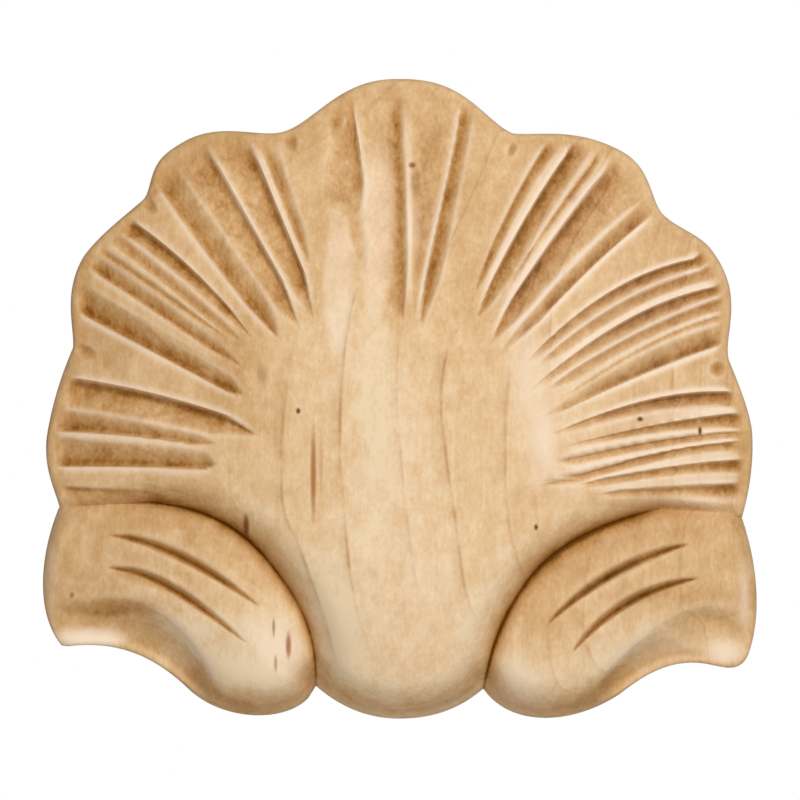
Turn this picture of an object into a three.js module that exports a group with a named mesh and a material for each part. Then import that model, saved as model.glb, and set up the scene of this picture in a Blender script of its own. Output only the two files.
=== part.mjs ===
// A shell ornament carved from one piece of wood: a scalloped fan of gouged
// flutes, a smooth stem at its foot, and a scroll leaf on each side of the stem.
// Millimetres, +Z up. The flat back lies in the plane y = 0 and the carving
// faces -Y. The origin is the middle of the back.
//
// Plan places are in hundredths of the width, measured from the origin as
// [right, up]. Angles are in degrees round the hub, 0 straight up, clockwise
// as seen from the front. Heights are above the back plane.
import * as THREE from 'three';

// Driving sizes
const WIDTH = 114.3;
const RELIEF = 19;
const RIM_HEIGHT = 6.5;
const RIM_ROUND = 1.1;
const STEM_SWELL = 0.8;
const STEM_FALL = 1.2;
const FOOT_HEIGHT = 4.5;
const FOOT_EDGE_OUTER = 6;
const FOOT_ROLL_OUTER = 2.6;
const FOOT_ROLL_INNER = 6.5;
const FLUTE_DEPTH = 1.5;
const FLUTE_CLEARANCE = 2.5;
const SEAM_DEPTH = 1.5;
const SEAM_ROUND = 2.4;
const SEAM_ROLL_OUTER = 2.6;
const SEAM_ROLL_INNER = 6;
const CUT_DEPTH = 1.5;
const CUT_WIDTH = 1.5;
const LEAF_TIP_HEIGHT = 6.8;
const LEAF_RISE = 5.6;
const LEAF_CROWN = 1.5;
const COVE_FLOOR = 5.4;
const COVE_LIP = 0.5;

// The plan's unit and the hub that every flute points to
const UNIT = WIDTH / 100;
const HUB = new THREE.Vector2(0.1 * UNIT, -12.8 * UNIT);

// Scallops of the rim, left to right: notch, crest and notch as [angle, radius],
// then how rounded each side is at its notch and how full it stays
const SCALLOPS = [
  { from: [-92.8, 47.7], crest: [-81.6, 50.0], to: [-66.4, 49.9], soft: [0.4, 1], full: [1.5, 1] },
  { from: [-66.4, 49.9], crest: [-53.4, 55.1], to: [-41.4, 54.3], soft: [0.4, 1], full: [1.5, 1] },
  { from: [-41.4, 54.3], crest: [-32.9, 57.5], to: [-17.7, 52.8], soft: [1, 1], full: [1.6, 1.25] },
  { from: [-17.7, 52.8], crest: [-0.2, 57.7], to: [17.8, 52.5], soft: [1, 1], full: [1.25, 1.5] },
  { from: [17.8, 52.5], crest: [33.8, 56.9], to: [43.9, 53.5], soft: [0.4, 1], full: [1.5, 1.25] },
  { from: [43.9, 53.5], crest: [52.4, 55.3], to: [68.4, 49.7], soft: [1, 0.8], full: [1, 1.5] },
  { from: [68.4, 49.7], crest: [79.9, 50.2], to: [94.0, 48.3], soft: [1, 0], full: [1, 1] },
];
const FAN_START = SCALLOPS[0].from[0];
const FAN_END = SCALLOPS[SCALLOPS.length - 1].to[0];

// Flutes bend on their way out, so an edge is three angles: near the hub, half
// way and near the rim, at these radii
const BEND_INNER = 25.4;
const BEND_OUTER = 49.9;

// One gouge cut: its two edges, how near the hub it reaches, how far inside the
// rim it stops, and the length over which it runs out there
function gouge(left, right, reach, inset, runOut, shape = {}) {
  const middle = (left[0] + right[0]) / 2;
  return { left, right, reach, inset, runOut, tip: middle, depth: 1, lean: 0.5, blunt: 0.25, ...shape };
}

const FLUTES = [
  gouge([-92.6, -92.4, -92.4], [-90.8, -89.8, -89.1], 32.3, 1.8, 2.2, { depth: 0.5, lean: 0.8 }),
  gouge([-83.8, -85.1, -86.4], [-79.8, -81.2, -82.5], 25.8, 2.2, 2.2, { lean: 0.2, blunt: 0.08 }),
  gouge([-76.9, -78.6, -80.6], [-74.6, -75.6, -77.2], 26.6, 2.2, 2.2, { lean: 0.25, blunt: 0.12 }),
  gouge([-71.4, -73.6, -75.5], [-66.0, -68.5, -71.3], 21.0, 2.0, 2.2, { depth: 1.15, lean: 0.72 }),

  gouge([-60.1, -60.7, -61.1], [-56.9, -57.4, -57.9], 25.4, 2.6, 2.2, { depth: 1.2, lean: 0.25, blunt: 0.1 }),
  gouge([-52.9, -53.7, -54.4], [-50.6, -51.6, -52.3], 27.5, 3.0, 2.2, { lean: 0.3 }),
  gouge([-49.1, -50.2, -51.5], [-48.3, -49.3, -50.5], 32.0, 1.5, 2.2, { depth: 1.2 }),
  gouge([-47.7, -48.5, -49.3], [-45.7, -46.6, -47.4], 30.0, 3.0, 2.2, { depth: 0.7 }),
  gouge([-44.4, -44.8, -46.2], [-43.6, -42.8, -44.0], 29.5, 1.5, 2.2, { depth: 1.3, lean: 0.55 }),

  gouge([-39.7, -39.5, -38.9], [-34.6, -34.8, -34.9], 27.0, 1.5, 4, { tip: -38.4, lean: 0.3 }),
  gouge([-33.8, -34.0, -34.2], [-28.8, -28.9, -29.0], 26.9, 0.8, 5, { tip: -31.6, lean: 0.75 }),
  gouge([-27.7, -27.7, -27.7], [-23.6, -23.3, -23.1], 27.1, 0.8, 5, { tip: -26.5, lean: 0.75 }),
  gouge([-22.6, -22.4, -22.2], [-20.9, -20.6, -20.3], 34.0, 2.0, 4),

  gouge([-12.5, -12.2, -11.9], [-6.9, -7.3, -7.8], 40.0, 1.0, 5, { depth: 1.2, lean: 0.72, blunt: 0.4 }),
  gouge([-11.0, -11.0, -11.0], [-6.7, -7.1, -7.4], 29.5, 2.0, 2.2, { depth: 0.35 }),
  gouge([-5.8, -6.2, -6.6], [2.7, 1.8, 0.8], 23.6, 0.2, 7, { tip: 1.0, lean: 0.78 }),
  gouge([3.5, 2.5, 1.6], [5.6, 6.6, 7.6], 23.8, 0.2, 7, { tip: 4.6, depth: 0.45 }),
  gouge([6.0, 8.0, 9.0], [9.8, 10.4, 10.7], 22.9, 0.6, 3, { tip: 7.6, lean: 0.35 }),

  gouge([20.2, 20.8, 22.4], [21.8, 22.2, 23.9], 29.0, 0.8, 3, { lean: 0.4 }),
  gouge([23.2, 24.2, 25.9], [26.6, 27.2, 28.3], 26.1, 0.8, 3, { tip: 24.4, lean: 0.3 }),
  gouge([29.8, 30.9, 32.2], [34.2, 35.3, 37.9], 24.1, 0.8, 5, { tip: 32.0, lean: 0.25 }),
  gouge([36.4, 37.9, 39.9], [39.3, 40.4, 42.2], 23.6, 1.5, 4, { tip: 36.6, lean: 0.7 }),

  gouge([44.4, 45.8, 50.4], [45.9, 47.8, 52.2], 25.2, 1.5, 2.2, { depth: 1.1, lean: 0.4 }),
  gouge([47.0, 48.8, 52.6], [49.4, 50.9, 54.4], 27.3, 2.0, 2.2, { depth: 0.6 }),
  gouge([52.0, 52.6, 56.0], [53.5, 55.0, 57.8], 24.1, 1.5, 2.2, { depth: 1.1, lean: 0.4 }),
  gouge([54.6, 56.0, 58.2], [57.4, 57.8, 59.9], 28.0, 2.0, 2.2, { depth: 0.7 }),
  gouge([62.0, 61.6, 63.4], [64.0, 64.6, 65.8], 23.0, 1.6, 2.2, { depth: 0.9, lean: 0.75 }),

  gouge([69.1, 70.0, 74.0], [70.6, 72.3, 76.0], 22.9, 1.5, 2.2, { depth: 1.2, lean: 0.4 }),
  gouge([74.8, 75.6, 77.2], [75.6, 77.2, 79.5], 26.0, 1.5, 2.2, { depth: 0.9, lean: 0.4 }),
  gouge([78.0, 78.6, 80.4], [81.0, 80.4, 81.2], 22.4, 2.4, 2.2, { depth: 0.8, lean: 0.4 }),
  gouge([84.0, 81.5, 82.0], [86.0, 82.5, 83.0], 19.5, 4.2, 2.2, { tip: 88.5, depth: 1.1 }),
  gouge([86.6, 84.9, 84.9], [88.6, 86.3, 86.6], 26.4, 1.2, 2.2, { depth: 0.9 }),
  gouge([90.4, 89.0, 88.6], [92.0, 91.0, 91.6], 30.2, 2.0, 2.2, { depth: 0.6 }),
];

// Small gouge marks at the notches: centre, half length, half width and depth
const DIMPLES = [
  { at: [-34.9, 27.1], size: [1.8, 1.0], depth: 0.9 },
  { at: [-15.1, 36.0], size: [1.8, 1.1], depth: 0.9 },
  { at: [15.9, 34.9], size: [1.3, 0.6], depth: 0.8 },
  { at: [44.7, 4.2], size: [1.4, 1.3], depth: 1.0 },
  { at: [-43.8, 6.6], size: [1.9, 1.1], depth: 0.9 },
];

const CURVE_STEPS = 20;

// A plan line of straight and Bezier stretches, as points in millimetres
function planLine(start, ...stretches) {
  const path = new THREE.Path().moveTo(start[0] * UNIT, start[1] * UNIT);
  for (const stretch of stretches) {
    const numbers = stretch.flat().map((value) => value * UNIT);
    if (numbers.length === 2) {
      path.lineTo(...numbers);
    } else {
      path.bezierCurveTo(...numbers);
    }
  }
  return path.getPoints(CURVE_STEPS);
}

// Foot of the stem, from the left cleft to the right one
const LEFT_CLEFT = [-11.6, -40.3];
const RIGHT_CLEFT = [11.9, -40.7];
const STEM_OUTLINE = planLine(
  LEFT_CLEFT,
  [[-8.2, -43.3], [-4.3, -44.9], [0.1, -44.9]],
  [[4.4, -44.9], [8.3, -43.8], RIGHT_CLEFT],
);

// The two scroll leaves. The seam parts each from the fan and the stem. The
// crest is its highest line, the cove is hollowed below its ridge, and the
// cuts are V grooves. Cove depth fades in and out between the listed angles.
const LEAVES = [
  {
    side: -1,
    notch: FAN_START,
    outline: planLine(
      [-47.6, -15.1],
      [[-50.7, -22.6], [-50.8, -30.7], [-47.1, -34.8]],
      [[-40.2, -33.8], [-34.9, -35.5], [-29.5, -40.7]],
      [[-24.2, -45.9], [-13.5, -45.6], LEFT_CLEFT],
    ),
    seam: planLine(
      [-47.6, -15.1],
      [-34.9, -14.5],
      [[-22.9, -15.3], [-18.7, -21.9], [-15.6, -26.1]],
      [[-12.4, -30.7], [-11.3, -35.2], LEFT_CLEFT],
    ),
    crest: planLine([-47.5, -20.5], [-40.6, -21.6], [-30.6, -24.5], [-21.5, -30.3], [-18.3, -35.9]),
    cove: planLine(
      [-44.1, -28.2],
      [[-39.1, -26.8], [-34.9, -28.2], [-32.3, -30.2]],
      [[-29.5, -32.4], [-27.1, -35.9], [-25.6, -39.4]],
    ),
    coveFade: [108, 115, 131, 141],
    cuts: [
      planLine([-40.6, -19.1], [[-34.2, -19.6], [-27.4, -23.3], [-19.4, -29.0]]),
      planLine([-40.6, -23.7], [[-34.9, -24.1], [-30.3, -26.9], [-21.2, -34.2]]),
    ],
  },
  {
    side: 1,
    notch: FAN_END,
    outline: planLine(
      [48.0, -16.1],
      [[50.3, -22.6], [51.0, -29.6], [49.4, -34.9]],
      [[48.7, -37.7], [47.1, -38.0], [45.1, -37.6]],
      [[39.5, -35.9], [35.3, -38.0], [31.1, -41.4]],
      [[24.3, -46.0], [15.6, -46.1], RIGHT_CLEFT],
    ),
    seam: planLine(
      [48.0, -16.1],
      [36.7, -15.3],
      [[26.9, -17.7], [20.5, -21.2], [16.9, -27.1]],
      [[13.8, -31.7], [12.7, -35.9], RIGHT_CLEFT],
    ),
    crest: planLine([47.9, -21.2], [40.9, -22.9], [31.1, -26.8], [22.7, -32.7], [19.6, -37.7]),
    cove: planLine(
      [45.8, -29.0],
      [[42.3, -28.4], [39.5, -29.5], [36.7, -31.0]],
      [[33.2, -33.8], [29.7, -36.9], [27.4, -40.0]],
    ),
    coveFade: [109, 113, 130, 140],
    cuts: [
      planLine([40.7, -20.3], [[34.6, -21.8], [27.0, -25.3], [20.8, -31.4]]),
      planLine([42.0, -25.1], [[36.2, -26.2], [29.4, -28.8], [24.2, -35.5]]),
    ],
  },
];
const [LEFT, RIGHT] = LEAVES;
const LOWER_OUTLINE = [...LEFT.outline, ...STEM_OUTLINE, ...RIGHT.outline.toReversed()];

// Proportions of the carving, places in hundredths of the width
const DOME = { across: 50.3, up: 57.7, corner: 2.4, fall: 0.875 };
const STEM_SWELL_SPAN = [0, -10.4];
const STEM_FALL_SPAN = [-12.1, -30];
const LEAF_RISE_SPAN = [50, 22];
const LEAF_CROWN_REACH = 8.75;
const SEAM_DEEP_SPAN = [44, 33];
const SEAM_SHALLOW_SHARE = 0.5;
const ROLL_SPAN = [44, 26];
const FOOT_ROLL_SPAN = [39, 25];
const ROLL_CLOSE_SHARE = 0.7;
const ROLL_CLOSE_POWER = 2.2;
const ROLL_WIDE = 2.3;
const RIM_CREST_POWER = 1.3;
const FLUTE_DEPTH_SHARE = 0.42;
const FLUTE_WALL_POWER = 1.5;
const FLUTE_OPEN_POWER = 1.6;
const FLUTE_TIP_POWER = 0.7;
const CUT_TAPER_POWER = 0.55;
const RIM_ROUND_SHARE = 0.8;

// Helpers
const clamp = THREE.MathUtils.clamp;
const mix = THREE.MathUtils.lerp;
const smooth = (from, to, value) => {
  const share = clamp((value - from) / (to - from), 0, 1);
  return share * share * (3 - 2 * share);
};

function polar(x, z) {
  const across = x - HUB.x;
  const up = z - HUB.y;
  return { angle: THREE.MathUtils.radToDeg(Math.atan2(across, up)), radius: Math.hypot(across, up) };
}

function lineDistance(line, x, z) {
  const segment = new THREE.Line3();
  const point = new THREE.Vector3(x, z, 0);
  const foot = new THREE.Vector3();
  let best = Infinity;
  let share = 0;
  for (let i = 0; i + 1 < line.length; i++) {
    segment.start.set(line[i].x, line[i].y, 0);
    segment.end.set(line[i + 1].x, line[i + 1].y, 0);
    const along = segment.closestPointToPointParameter(point, true);
    const distance = segment.at(along, foot).distanceTo(point);
    if (distance < best) {
      best = distance;
      share = (i + along) / (line.length - 1);
    }
  }
  return { distance: best, share };
}

// A line's radius at an angle, held at its ends
function radiusOf(line) {
  const rays = line.map((point) => polar(point.x, point.y));
  rays.forEach((ray) => {
    ray.turn = Math.abs(ray.angle);
  });
  rays.sort((a, b) => a.turn - b.turn);
  return (angle) => {
    const turn = Math.abs(angle);
    if (turn <= rays[0].turn) {
      return rays[0].radius;
    }
    for (let i = 1; i < rays.length; i++) {
      if (turn <= rays[i].turn) {
        const share = (turn - rays[i - 1].turn) / (rays[i].turn - rays[i - 1].turn);
        return mix(rays[i - 1].radius, rays[i].radius, share);
      }
    }
    return rays[rays.length - 1].radius;
  };
}

for (const leaf of LEAVES) {
  leaf.outlineRadius = radiusOf(leaf.outline);
  leaf.curvedSeamRadius = radiusOf(leaf.seam.slice(1));
  leaf.coveRadius = radiusOf(leaf.cove);
  leaf.cutRadius = leaf.cuts.map(radiusOf);
  leaf.cutSpan = leaf.cuts.map((cut) => [polar(cut[0].x, cut[0].y), polar(cut.at(-1).x, cut.at(-1).y)]);
  leaf.cleft = Math.abs(polar(leaf.seam.at(-1).x, leaf.seam.at(-1).y).angle);
}
const stemRays = STEM_OUTLINE.map((point) => {
  const ray = polar(point.x, point.y);
  return { turn: ray.angle < 0 ? ray.angle + 360 : ray.angle, radius: ray.radius };
}).sort((a, b) => a.turn - b.turn);

function stemRadius(angle) {
  const turn = angle < 0 ? angle + 360 : angle;
  for (let i = 1; i < stemRays.length; i++) {
    if (turn <= stemRays[i].turn || i === stemRays.length - 1) {
      const share = (turn - stemRays[i - 1].turn) / (stemRays[i].turn - stemRays[i - 1].turn);
      return mix(stemRays[i - 1].radius, stemRays[i].radius, clamp(share, 0, 1));
    }
  }
  return stemRays[0].radius;
}

const leafAt = (angle) => LEAVES.find((leaf) => Math.sign(angle) === leaf.side);
const inFan = (angle) => angle >= FAN_START && angle <= FAN_END;
const inStem = (angle) => !inFan(angle) && Math.abs(angle) >= leafAt(angle).cleft;

function rimRadius(angle) {
  const scallop = SCALLOPS.find((each) => angle <= each.to[0]) ?? SCALLOPS.at(-1);
  const side = angle < scallop.crest[0] ? 0 : 1;
  const notch = side === 0 ? scallop.from : scallop.to;
  const away = clamp((angle - scallop.crest[0]) / (notch[0] - scallop.crest[0]), 0, 1);
  const drop = mix(away ** RIM_CREST_POWER, smooth(0, 1, away ** scallop.full[side]), scallop.soft[side]);
  return mix(scallop.crest[1], notch[1], drop) * UNIT;
}

function outlineRadius(angle) {
  if (inFan(angle)) {
    return rimRadius(angle);
  }
  return inStem(angle) ? stemRadius(angle) : leafAt(angle).outlineRadius(angle);
}

// Radius of the seam; in the stem's sector there is no leaf, so it is the outline
function seamRadius(angle) {
  return inStem(angle) ? stemRadius(angle) : leafAt(angle).curvedSeamRadius(angle);
}

function bend(edge, radius) {
  const out = clamp((radius / UNIT - BEND_INNER) / (BEND_OUTER - BEND_INNER), 0, 1);
  return edge[0] * (1 - out) * (1 - 2 * out) + 4 * edge[1] * out * (1 - out) + edge[2] * out * (2 * out - 1);
}

// Depth that the flutes take off at a place
function fluteDepth(angle, radius) {
  let deepest = 0;
  for (const flute of FLUTES) {
    const reach = flute.reach * UNIT;
    const end = rimRadius(angle) - flute.inset;
    if (radius <= reach || radius >= end) {
      continue;
    }
    const inward = clamp((radius - reach) / (end - reach) / flute.blunt, 0, 1);
    const open = 1 - (1 - inward) ** FLUTE_OPEN_POWER;
    const outward = clamp((end - radius) / flute.runOut, 0, 1);
    const left = bend(flute.left, radius);
    const right = bend(flute.right, radius);
    const from = mix(flute.tip, left, open);
    const across = (angle - from) / (mix(flute.tip, right, open) - from);
    if (across <= 0 || across >= 1) {
      continue;
    }
    const away = across < flute.lean ? 1 - across / flute.lean : (across - flute.lean) / (1 - flute.lean);
    const width = THREE.MathUtils.degToRad(right - left) * radius;
    const full = Math.min(width * FLUTE_DEPTH_SHARE, FLUTE_DEPTH) * flute.depth;
    const depth = full * open ** FLUTE_TIP_POWER * (1 - (1 - outward) ** 2);
    deepest = Math.max(deepest, depth * (1 - away ** FLUTE_WALL_POWER));
  }
  return deepest;
}

function dimpleDepth(x, z) {
  let depth = 0;
  for (const dimple of DIMPLES) {
    const right = dimple.at[0] * UNIT;
    const up = dimple.at[1] * UNIT;
    const turn = THREE.MathUtils.degToRad(polar(right, up).angle);
    const along = (x - right) * Math.sin(turn) + (z - up) * Math.cos(turn);
    const across = (x - right) * Math.cos(turn) - (z - up) * Math.sin(turn);
    const spread = (along / dimple.size[0]) ** 2 + (across / dimple.size[1]) ** 2;
    depth += dimple.depth * Math.max(0, 1 - spread);
  }
  return depth;
}

// Share of a drop left at a distance from an edge: a close round and a wide one
function falloff(distance, reach) {
  const close = clamp(1 - distance / reach, 0, 1) ** ROLL_CLOSE_POWER;
  const wide = clamp(1 - distance / (reach * ROLL_WIDE), 0, 1) ** 2;
  return mix(wide, close, ROLL_CLOSE_SHARE);
}

// The smooth dome before the seams and flutes are cut
function domeHeight(x, z) {
  const up = (z - HUB.y) / UNIT;
  const across = Math.abs(x - HUB.x) / (DOME.across * UNIT);
  const spread = across ** DOME.corner + Math.max(up / DOME.up, 0) ** DOME.corner;
  const top = RELIEF - STEM_SWELL;
  const stem = STEM_SWELL * smooth(...STEM_SWELL_SPAN, up) - STEM_FALL * smooth(...STEM_FALL_SPAN, up);
  return Math.max(top - (top - RIM_HEIGHT) * spread ** DOME.fall + stem, FOOT_HEIGHT);
}

// The leaf's own surface, which runs on under the fan for the seam's depth
function leafHeight(leaf, x, z) {
  const out = Math.abs(x) / UNIT;
  const crest = lineDistance(leaf.crest, x, z).distance / (LEAF_CROWN_REACH * UNIT);
  const rise = LEAF_RISE * smooth(...LEAF_RISE_SPAN, out);
  return LEAF_TIP_HEIGHT + rise + LEAF_CROWN * (1 - clamp(crest, 0, 1) ** 2);
}

// Hollows the leaf below its cove ridge
function coveHeight(leaf, angle, radius, height) {
  const turn = Math.abs(angle);
  const ridge = leaf.coveRadius(angle);
  const [start, full, waning, end] = leaf.coveFade;
  const strength = smooth(start, full, turn) * smooth(end, waning, turn);
  if (radius <= ridge || strength <= 0) {
    return height;
  }
  const down = clamp((radius - ridge) / Math.max(leaf.outlineRadius(angle) - ridge, 1), 0, 1);
  const hollow = COVE_FLOOR + Math.max(height - COVE_FLOOR, 0) * (1 - down) ** 2;
  const cove = hollow + COVE_LIP * smooth(0.7, 1, down);
  return mix(height, Math.min(cove, height + COVE_LIP), strength);
}

// Depth that a leaf's V cuts take off at a place
function cutDepth(leaf, x, z) {
  let depth = 0;
  for (const cut of leaf.cuts) {
    const { distance, share } = lineDistance(cut, x, z);
    const taper = Math.max(Math.sin(Math.PI * clamp(share, 0, 1)), 1e-3) ** CUT_TAPER_POWER;
    depth += CUT_DEPTH * taper * clamp(1 - distance / (0.5 * CUT_WIDTH * taper), 0, 1);
  }
  return depth;
}

function surfaceHeight(x, z) {
  const { angle, radius } = polar(x, z);
  const leaf = leafAt(angle) ?? RIGHT;
  const out = Math.abs(x) / UNIT;
  const toSeam = lineDistance(leaf.seam, x, z).distance;
  const toFoot = lineDistance(LOWER_OUTLINE, x, z).distance;
  const seamDepth = SEAM_DEPTH * mix(SEAM_SHALLOW_SHARE, 1, smooth(...SEAM_DEEP_SPAN, out));
  const leafSurface = leafHeight(leaf, x, z);
  const onLeaf = !inFan(angle) && !inStem(angle) && radius > seamRadius(angle) + 1e-6;
  let height;
  if (onLeaf) {
    height = leafSurface - seamDepth * clamp(1 - toSeam / SEAM_ROUND, 0, 1) ** ROLL_CLOSE_POWER;
  } else {
    const reach = mix(SEAM_ROLL_OUTER, SEAM_ROLL_INNER, smooth(...ROLL_SPAN, out));
    const dome = domeHeight(x, z);
    height = dome - Math.max(dome - leafSurface + seamDepth, 0) * falloff(toSeam, reach);
  }
  if (inFan(angle)) {
    height -= fluteDepth(angle, radius) * smooth(0, FLUTE_CLEARANCE, toSeam) + dimpleDepth(x, z);
  } else {
    const reach = mix(FOOT_ROLL_OUTER, FOOT_ROLL_INNER, smooth(...FOOT_ROLL_SPAN, out));
    const foot = mix(FOOT_EDGE_OUTER, FOOT_HEIGHT, smooth(...ROLL_SPAN, out));
    height -= Math.max(height - foot, 0) * falloff(toFoot, reach);
  }
  if (onLeaf) {
    height = coveHeight(leaf, angle, radius, height) - cutDepth(leaf, x, z);
  }
  const toEdge = inFan(angle) ? rimRadius(angle) - radius : toFoot;
  const over = 1 - clamp(toEdge / RIM_ROUND, 0, 1);
  return height - RIM_ROUND_SHARE * RIM_ROUND * (1 - Math.sqrt(1 - over ** 2));
}

// Mesh layout. Spokes follow the flutes' edges and bottoms; between them they
// are filled in. A spoke is an edge, that is, three angles.
const SPOKE_GAP = 3;
const LEAF_SPOKE_GAP = 2.2;
const LEAST_GAP = 0.45;
const SHALLOW_FLUTE = 0.4;
const straight = (angle) => [angle, angle, angle];

// The scallop notch that lies between two spokes at the rim, if there is one
function notchBetween(here, next) {
  const notches = SCALLOPS.map((scallop) => scallop.to[0]);
  return notches.find((angle) => angle > here[2] + 1 && angle < next[2] - 1);
}

function fanSpokes() {
  const edges = [straight(FAN_START)];
  const add = (edge) => {
    const last = edges.at(-1);
    const gaps = edge.map((value, i) => value - last[i]);
    if (Math.max(...gaps) < LEAST_GAP || Math.min(...gaps) <= 0.05) {
      return;
    }
    edges.push(edge);
  };
  for (const flute of FLUTES.filter((each) => each.depth > SHALLOW_FLUTE)) {
    add(flute.left);
    const bottom = flute.left.map((value, i) => mix(value, flute.right[i], flute.lean));
    bottom[0] = clamp(flute.tip, flute.left[0], flute.right[0]);
    add(bottom);
    add(flute.right);
  }
  const all = [];
  edges.push(straight(FAN_END));
  for (let i = 0; i + 1 < edges.length; i++) {
    const [here, next] = [edges[i], edges[i + 1]];
    const notch = notchBetween(here, next);
    const stops = [here];
    if (notch !== undefined) {
      stops.push([(here[0] + next[0]) / 2, (here[1] + next[1]) / 2, notch]);
    }
    stops.push(next);
    for (let k = 0; k + 1 < stops.length; k++) {
      const count = Math.max(1, Math.round((stops[k + 1][2] - stops[k][2]) / SPOKE_GAP));
      for (let step = 0; step < count; step++) {
        all.push(stops[k].map((value, j) => mix(value, stops[k + 1][j], step / count)));
      }
    }
  }
  all.push(straight(FAN_END));
  return all;
}

function evenSpokes(from, to, gap) {
  const count = Math.ceil((to - from) / gap);
  return Array.from({ length: count }, (_, step) => straight(mix(from, to, step / count)));
}

// A leaf's spokes meet every corner of its outline
function leafSpokes(leaf) {
  const corners = leaf.outline.filter((_, i) => i % CURVE_STEPS === 0);
  const inner = corners.slice(1, -1).map((point) => polar(point.x, point.y).angle);
  const stops = [leaf.notch, ...inner, leaf.side * leaf.cleft].sort((a, b) => a - b);
  return stops.slice(1).flatMap((stop, i) => evenSpokes(stops[i], stop, LEAF_SPOKE_GAP));
}

const SPOKES = [
  ...evenSpokes(-180, -LEFT.cleft, SPOKE_GAP),
  ...leafSpokes(LEFT),
  ...fanSpokes(),
  ...leafSpokes(RIGHT).slice(1),
  ...evenSpokes(RIGHT.cleft, 180, SPOKE_GAP),
];

// Rows from the hub outward, as shares of the radius. Body rows end at the
// seam; leaf rows go on to the outline. In the fan they are all one run.
const BODY_ROWS = [0.24, 0.46, 0.68, 0.83, 0.92, 0.97, 1];
const FAN_ROWS = [
  0.12, 0.24, 0.33, 0.4, 0.46, 0.51, 0.555, 0.6, 0.64, 0.675, 0.71, 0.745,
  0.78, 0.815, 0.85, 0.88, 0.905, 0.93, 0.95, 0.968, 0.986, 1,
];
const NOTCH_BLEND = 10;

// Radii of a leaf's rows at an angle: seam, both cuts with their edges, cove and outline
function leafRows(leaf, angle) {
  const turn = Math.abs(angle);
  const seam = leaf.curvedSeamRadius(angle);
  const rim = leaf.outlineRadius(angle);
  const guides = leaf.cuts.map((cut, i) => {
    const [start, end] = leaf.cutSpan[i].map((ray) => Math.abs(ray.angle));
    const held = clamp(turn, start, end);
    const heldSeam = leaf.curvedSeamRadius(held);
    const heldRim = leaf.outlineRadius(held);
    let share = (leaf.cutRadius[i](held) - heldSeam) / (heldRim - heldSeam);
    if (turn < start) {
      share = mix(share, 0.6 + 0.16 * i, smooth(start, Math.abs(leaf.notch), turn));
    }
    return mix(seam, rim, share);
  });
  const [start, , , end] = leaf.coveFade;
  const coveTurn = clamp(turn, start, end);
  const coveShare = (leaf.coveRadius(coveTurn) - leaf.curvedSeamRadius(coveTurn))
    / (leaf.outlineRadius(coveTurn) - leaf.curvedSeamRadius(coveTurn));
  const latest = (guides[1] - seam) / Math.max(rim - seam, 1e-6);
  const cove = mix(seam, rim, Math.max(coveShare, mix(latest, 1, 0.25)));
  const room = Math.min(0.3 * (guides[1] - guides[0]), 0.3 * (guides[0] - seam), 0.5 * (cove - guides[1]));
  const half = Math.min(0.5 * CUT_WIDTH, room);
  return [
    seam + 0.25 * (guides[0] - half - seam),
    mix(seam, guides[0] - half, 0.6),
    guides[0] - half,
    guides[0],
    guides[0] + half,
    (guides[0] + guides[1]) / 2,
    guides[1] - half,
    guides[1],
    guides[1] + half,
    cove,
    mix(cove, rim, 0.25),
    mix(cove, rim, 0.55),
    mix(cove, rim, 0.8),
    Math.max(rim - 0.35 * RIM_ROUND, mix(cove, rim, 0.9)),
    rim,
  ];
}

function rowRadii(angle) {
  if (!inFan(angle)) {
    const seam = seamRadius(angle);
    const body = BODY_ROWS.map((share) => share * seam);
    const past = FAN_ROWS.slice(BODY_ROWS.length).map(() => seam);
    return [...body, ...(inStem(angle) ? past : leafRows(leafAt(angle), angle))];
  }
  const rim = rimRadius(angle);
  const leaf = angle < 0 ? LEFT : RIGHT;
  const nearness = smooth(NOTCH_BLEND, 0, Math.abs(angle - leaf.notch));
  const seam = leaf.curvedSeamRadius(leaf.notch);
  const edge = leaf.outlineRadius(leaf.notch);
  const atNotch = [...BODY_ROWS.map((share) => share * seam), ...leafRows(leaf, leaf.notch)];
  return FAN_ROWS.map((share, i) => mix(share, atNotch[i] / edge, nearness) * rim);
}

function placeVertex(spoke, row) {
  let angle = spoke[2];
  let radius = 0;
  for (let pass = 0; pass < 3; pass++) {
    radius = rowRadii(angle)[row];
    angle = bend(spoke, radius);
  }
  const turn = THREE.MathUtils.degToRad(angle);
  const x = HUB.x + radius * Math.sin(turn);
  const z = HUB.y + radius * Math.cos(turn);
  return { x, z, angle };
}

class Mesher {
  constructor() {
    this.positions = [];
    this.triangles = [];
    this.known = new Map();
  }

  vertex(x, y, z) {
    const key = [x, y, z].map((value) => Math.round(value * 1e4)).join(' ');
    if (!this.known.has(key)) {
      this.known.set(key, this.positions.length / 3);
      this.positions.push(x, y, z);
    }
    return this.known.get(key);
  }

  triangle(a, b, c) {
    if (a !== b && b !== c && c !== a) {
      this.triangles.push(a, b, c);
    }
  }

  quad(a, b, c, d) {
    this.triangle(a, b, c);
    this.triangle(a, c, d);
  }

  // Joins two closed rings of unlike counts by their angles
  zip(inner, outer) {
    const next = (ring, i) => (i + 1 < ring.length ? ring[i + 1].angle : ring[0].angle + 360);
    let [i, j] = [0, 0];
    while (i < inner.length || j < outer.length) {
      const moveInner = j >= outer.length || (i < inner.length && next(inner, i) < next(outer, j));
      const [a, b] = [inner[i % inner.length], outer[j % outer.length]];
      if (moveInner) {
        this.triangle(a.id, inner[(i + 1) % inner.length].id, b.id);
        i += 1;
      } else {
        this.triangle(a.id, outer[(j + 1) % outer.length].id, b.id);
        j += 1;
      }
    }
  }

  geometry() {
    const result = new THREE.BufferGeometry();
    result.setAttribute('position', new THREE.Float32BufferAttribute(this.positions, 3));
    result.setIndex(this.triangles);
    result.computeVertexNormals();
    return result;
  }
}

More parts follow.
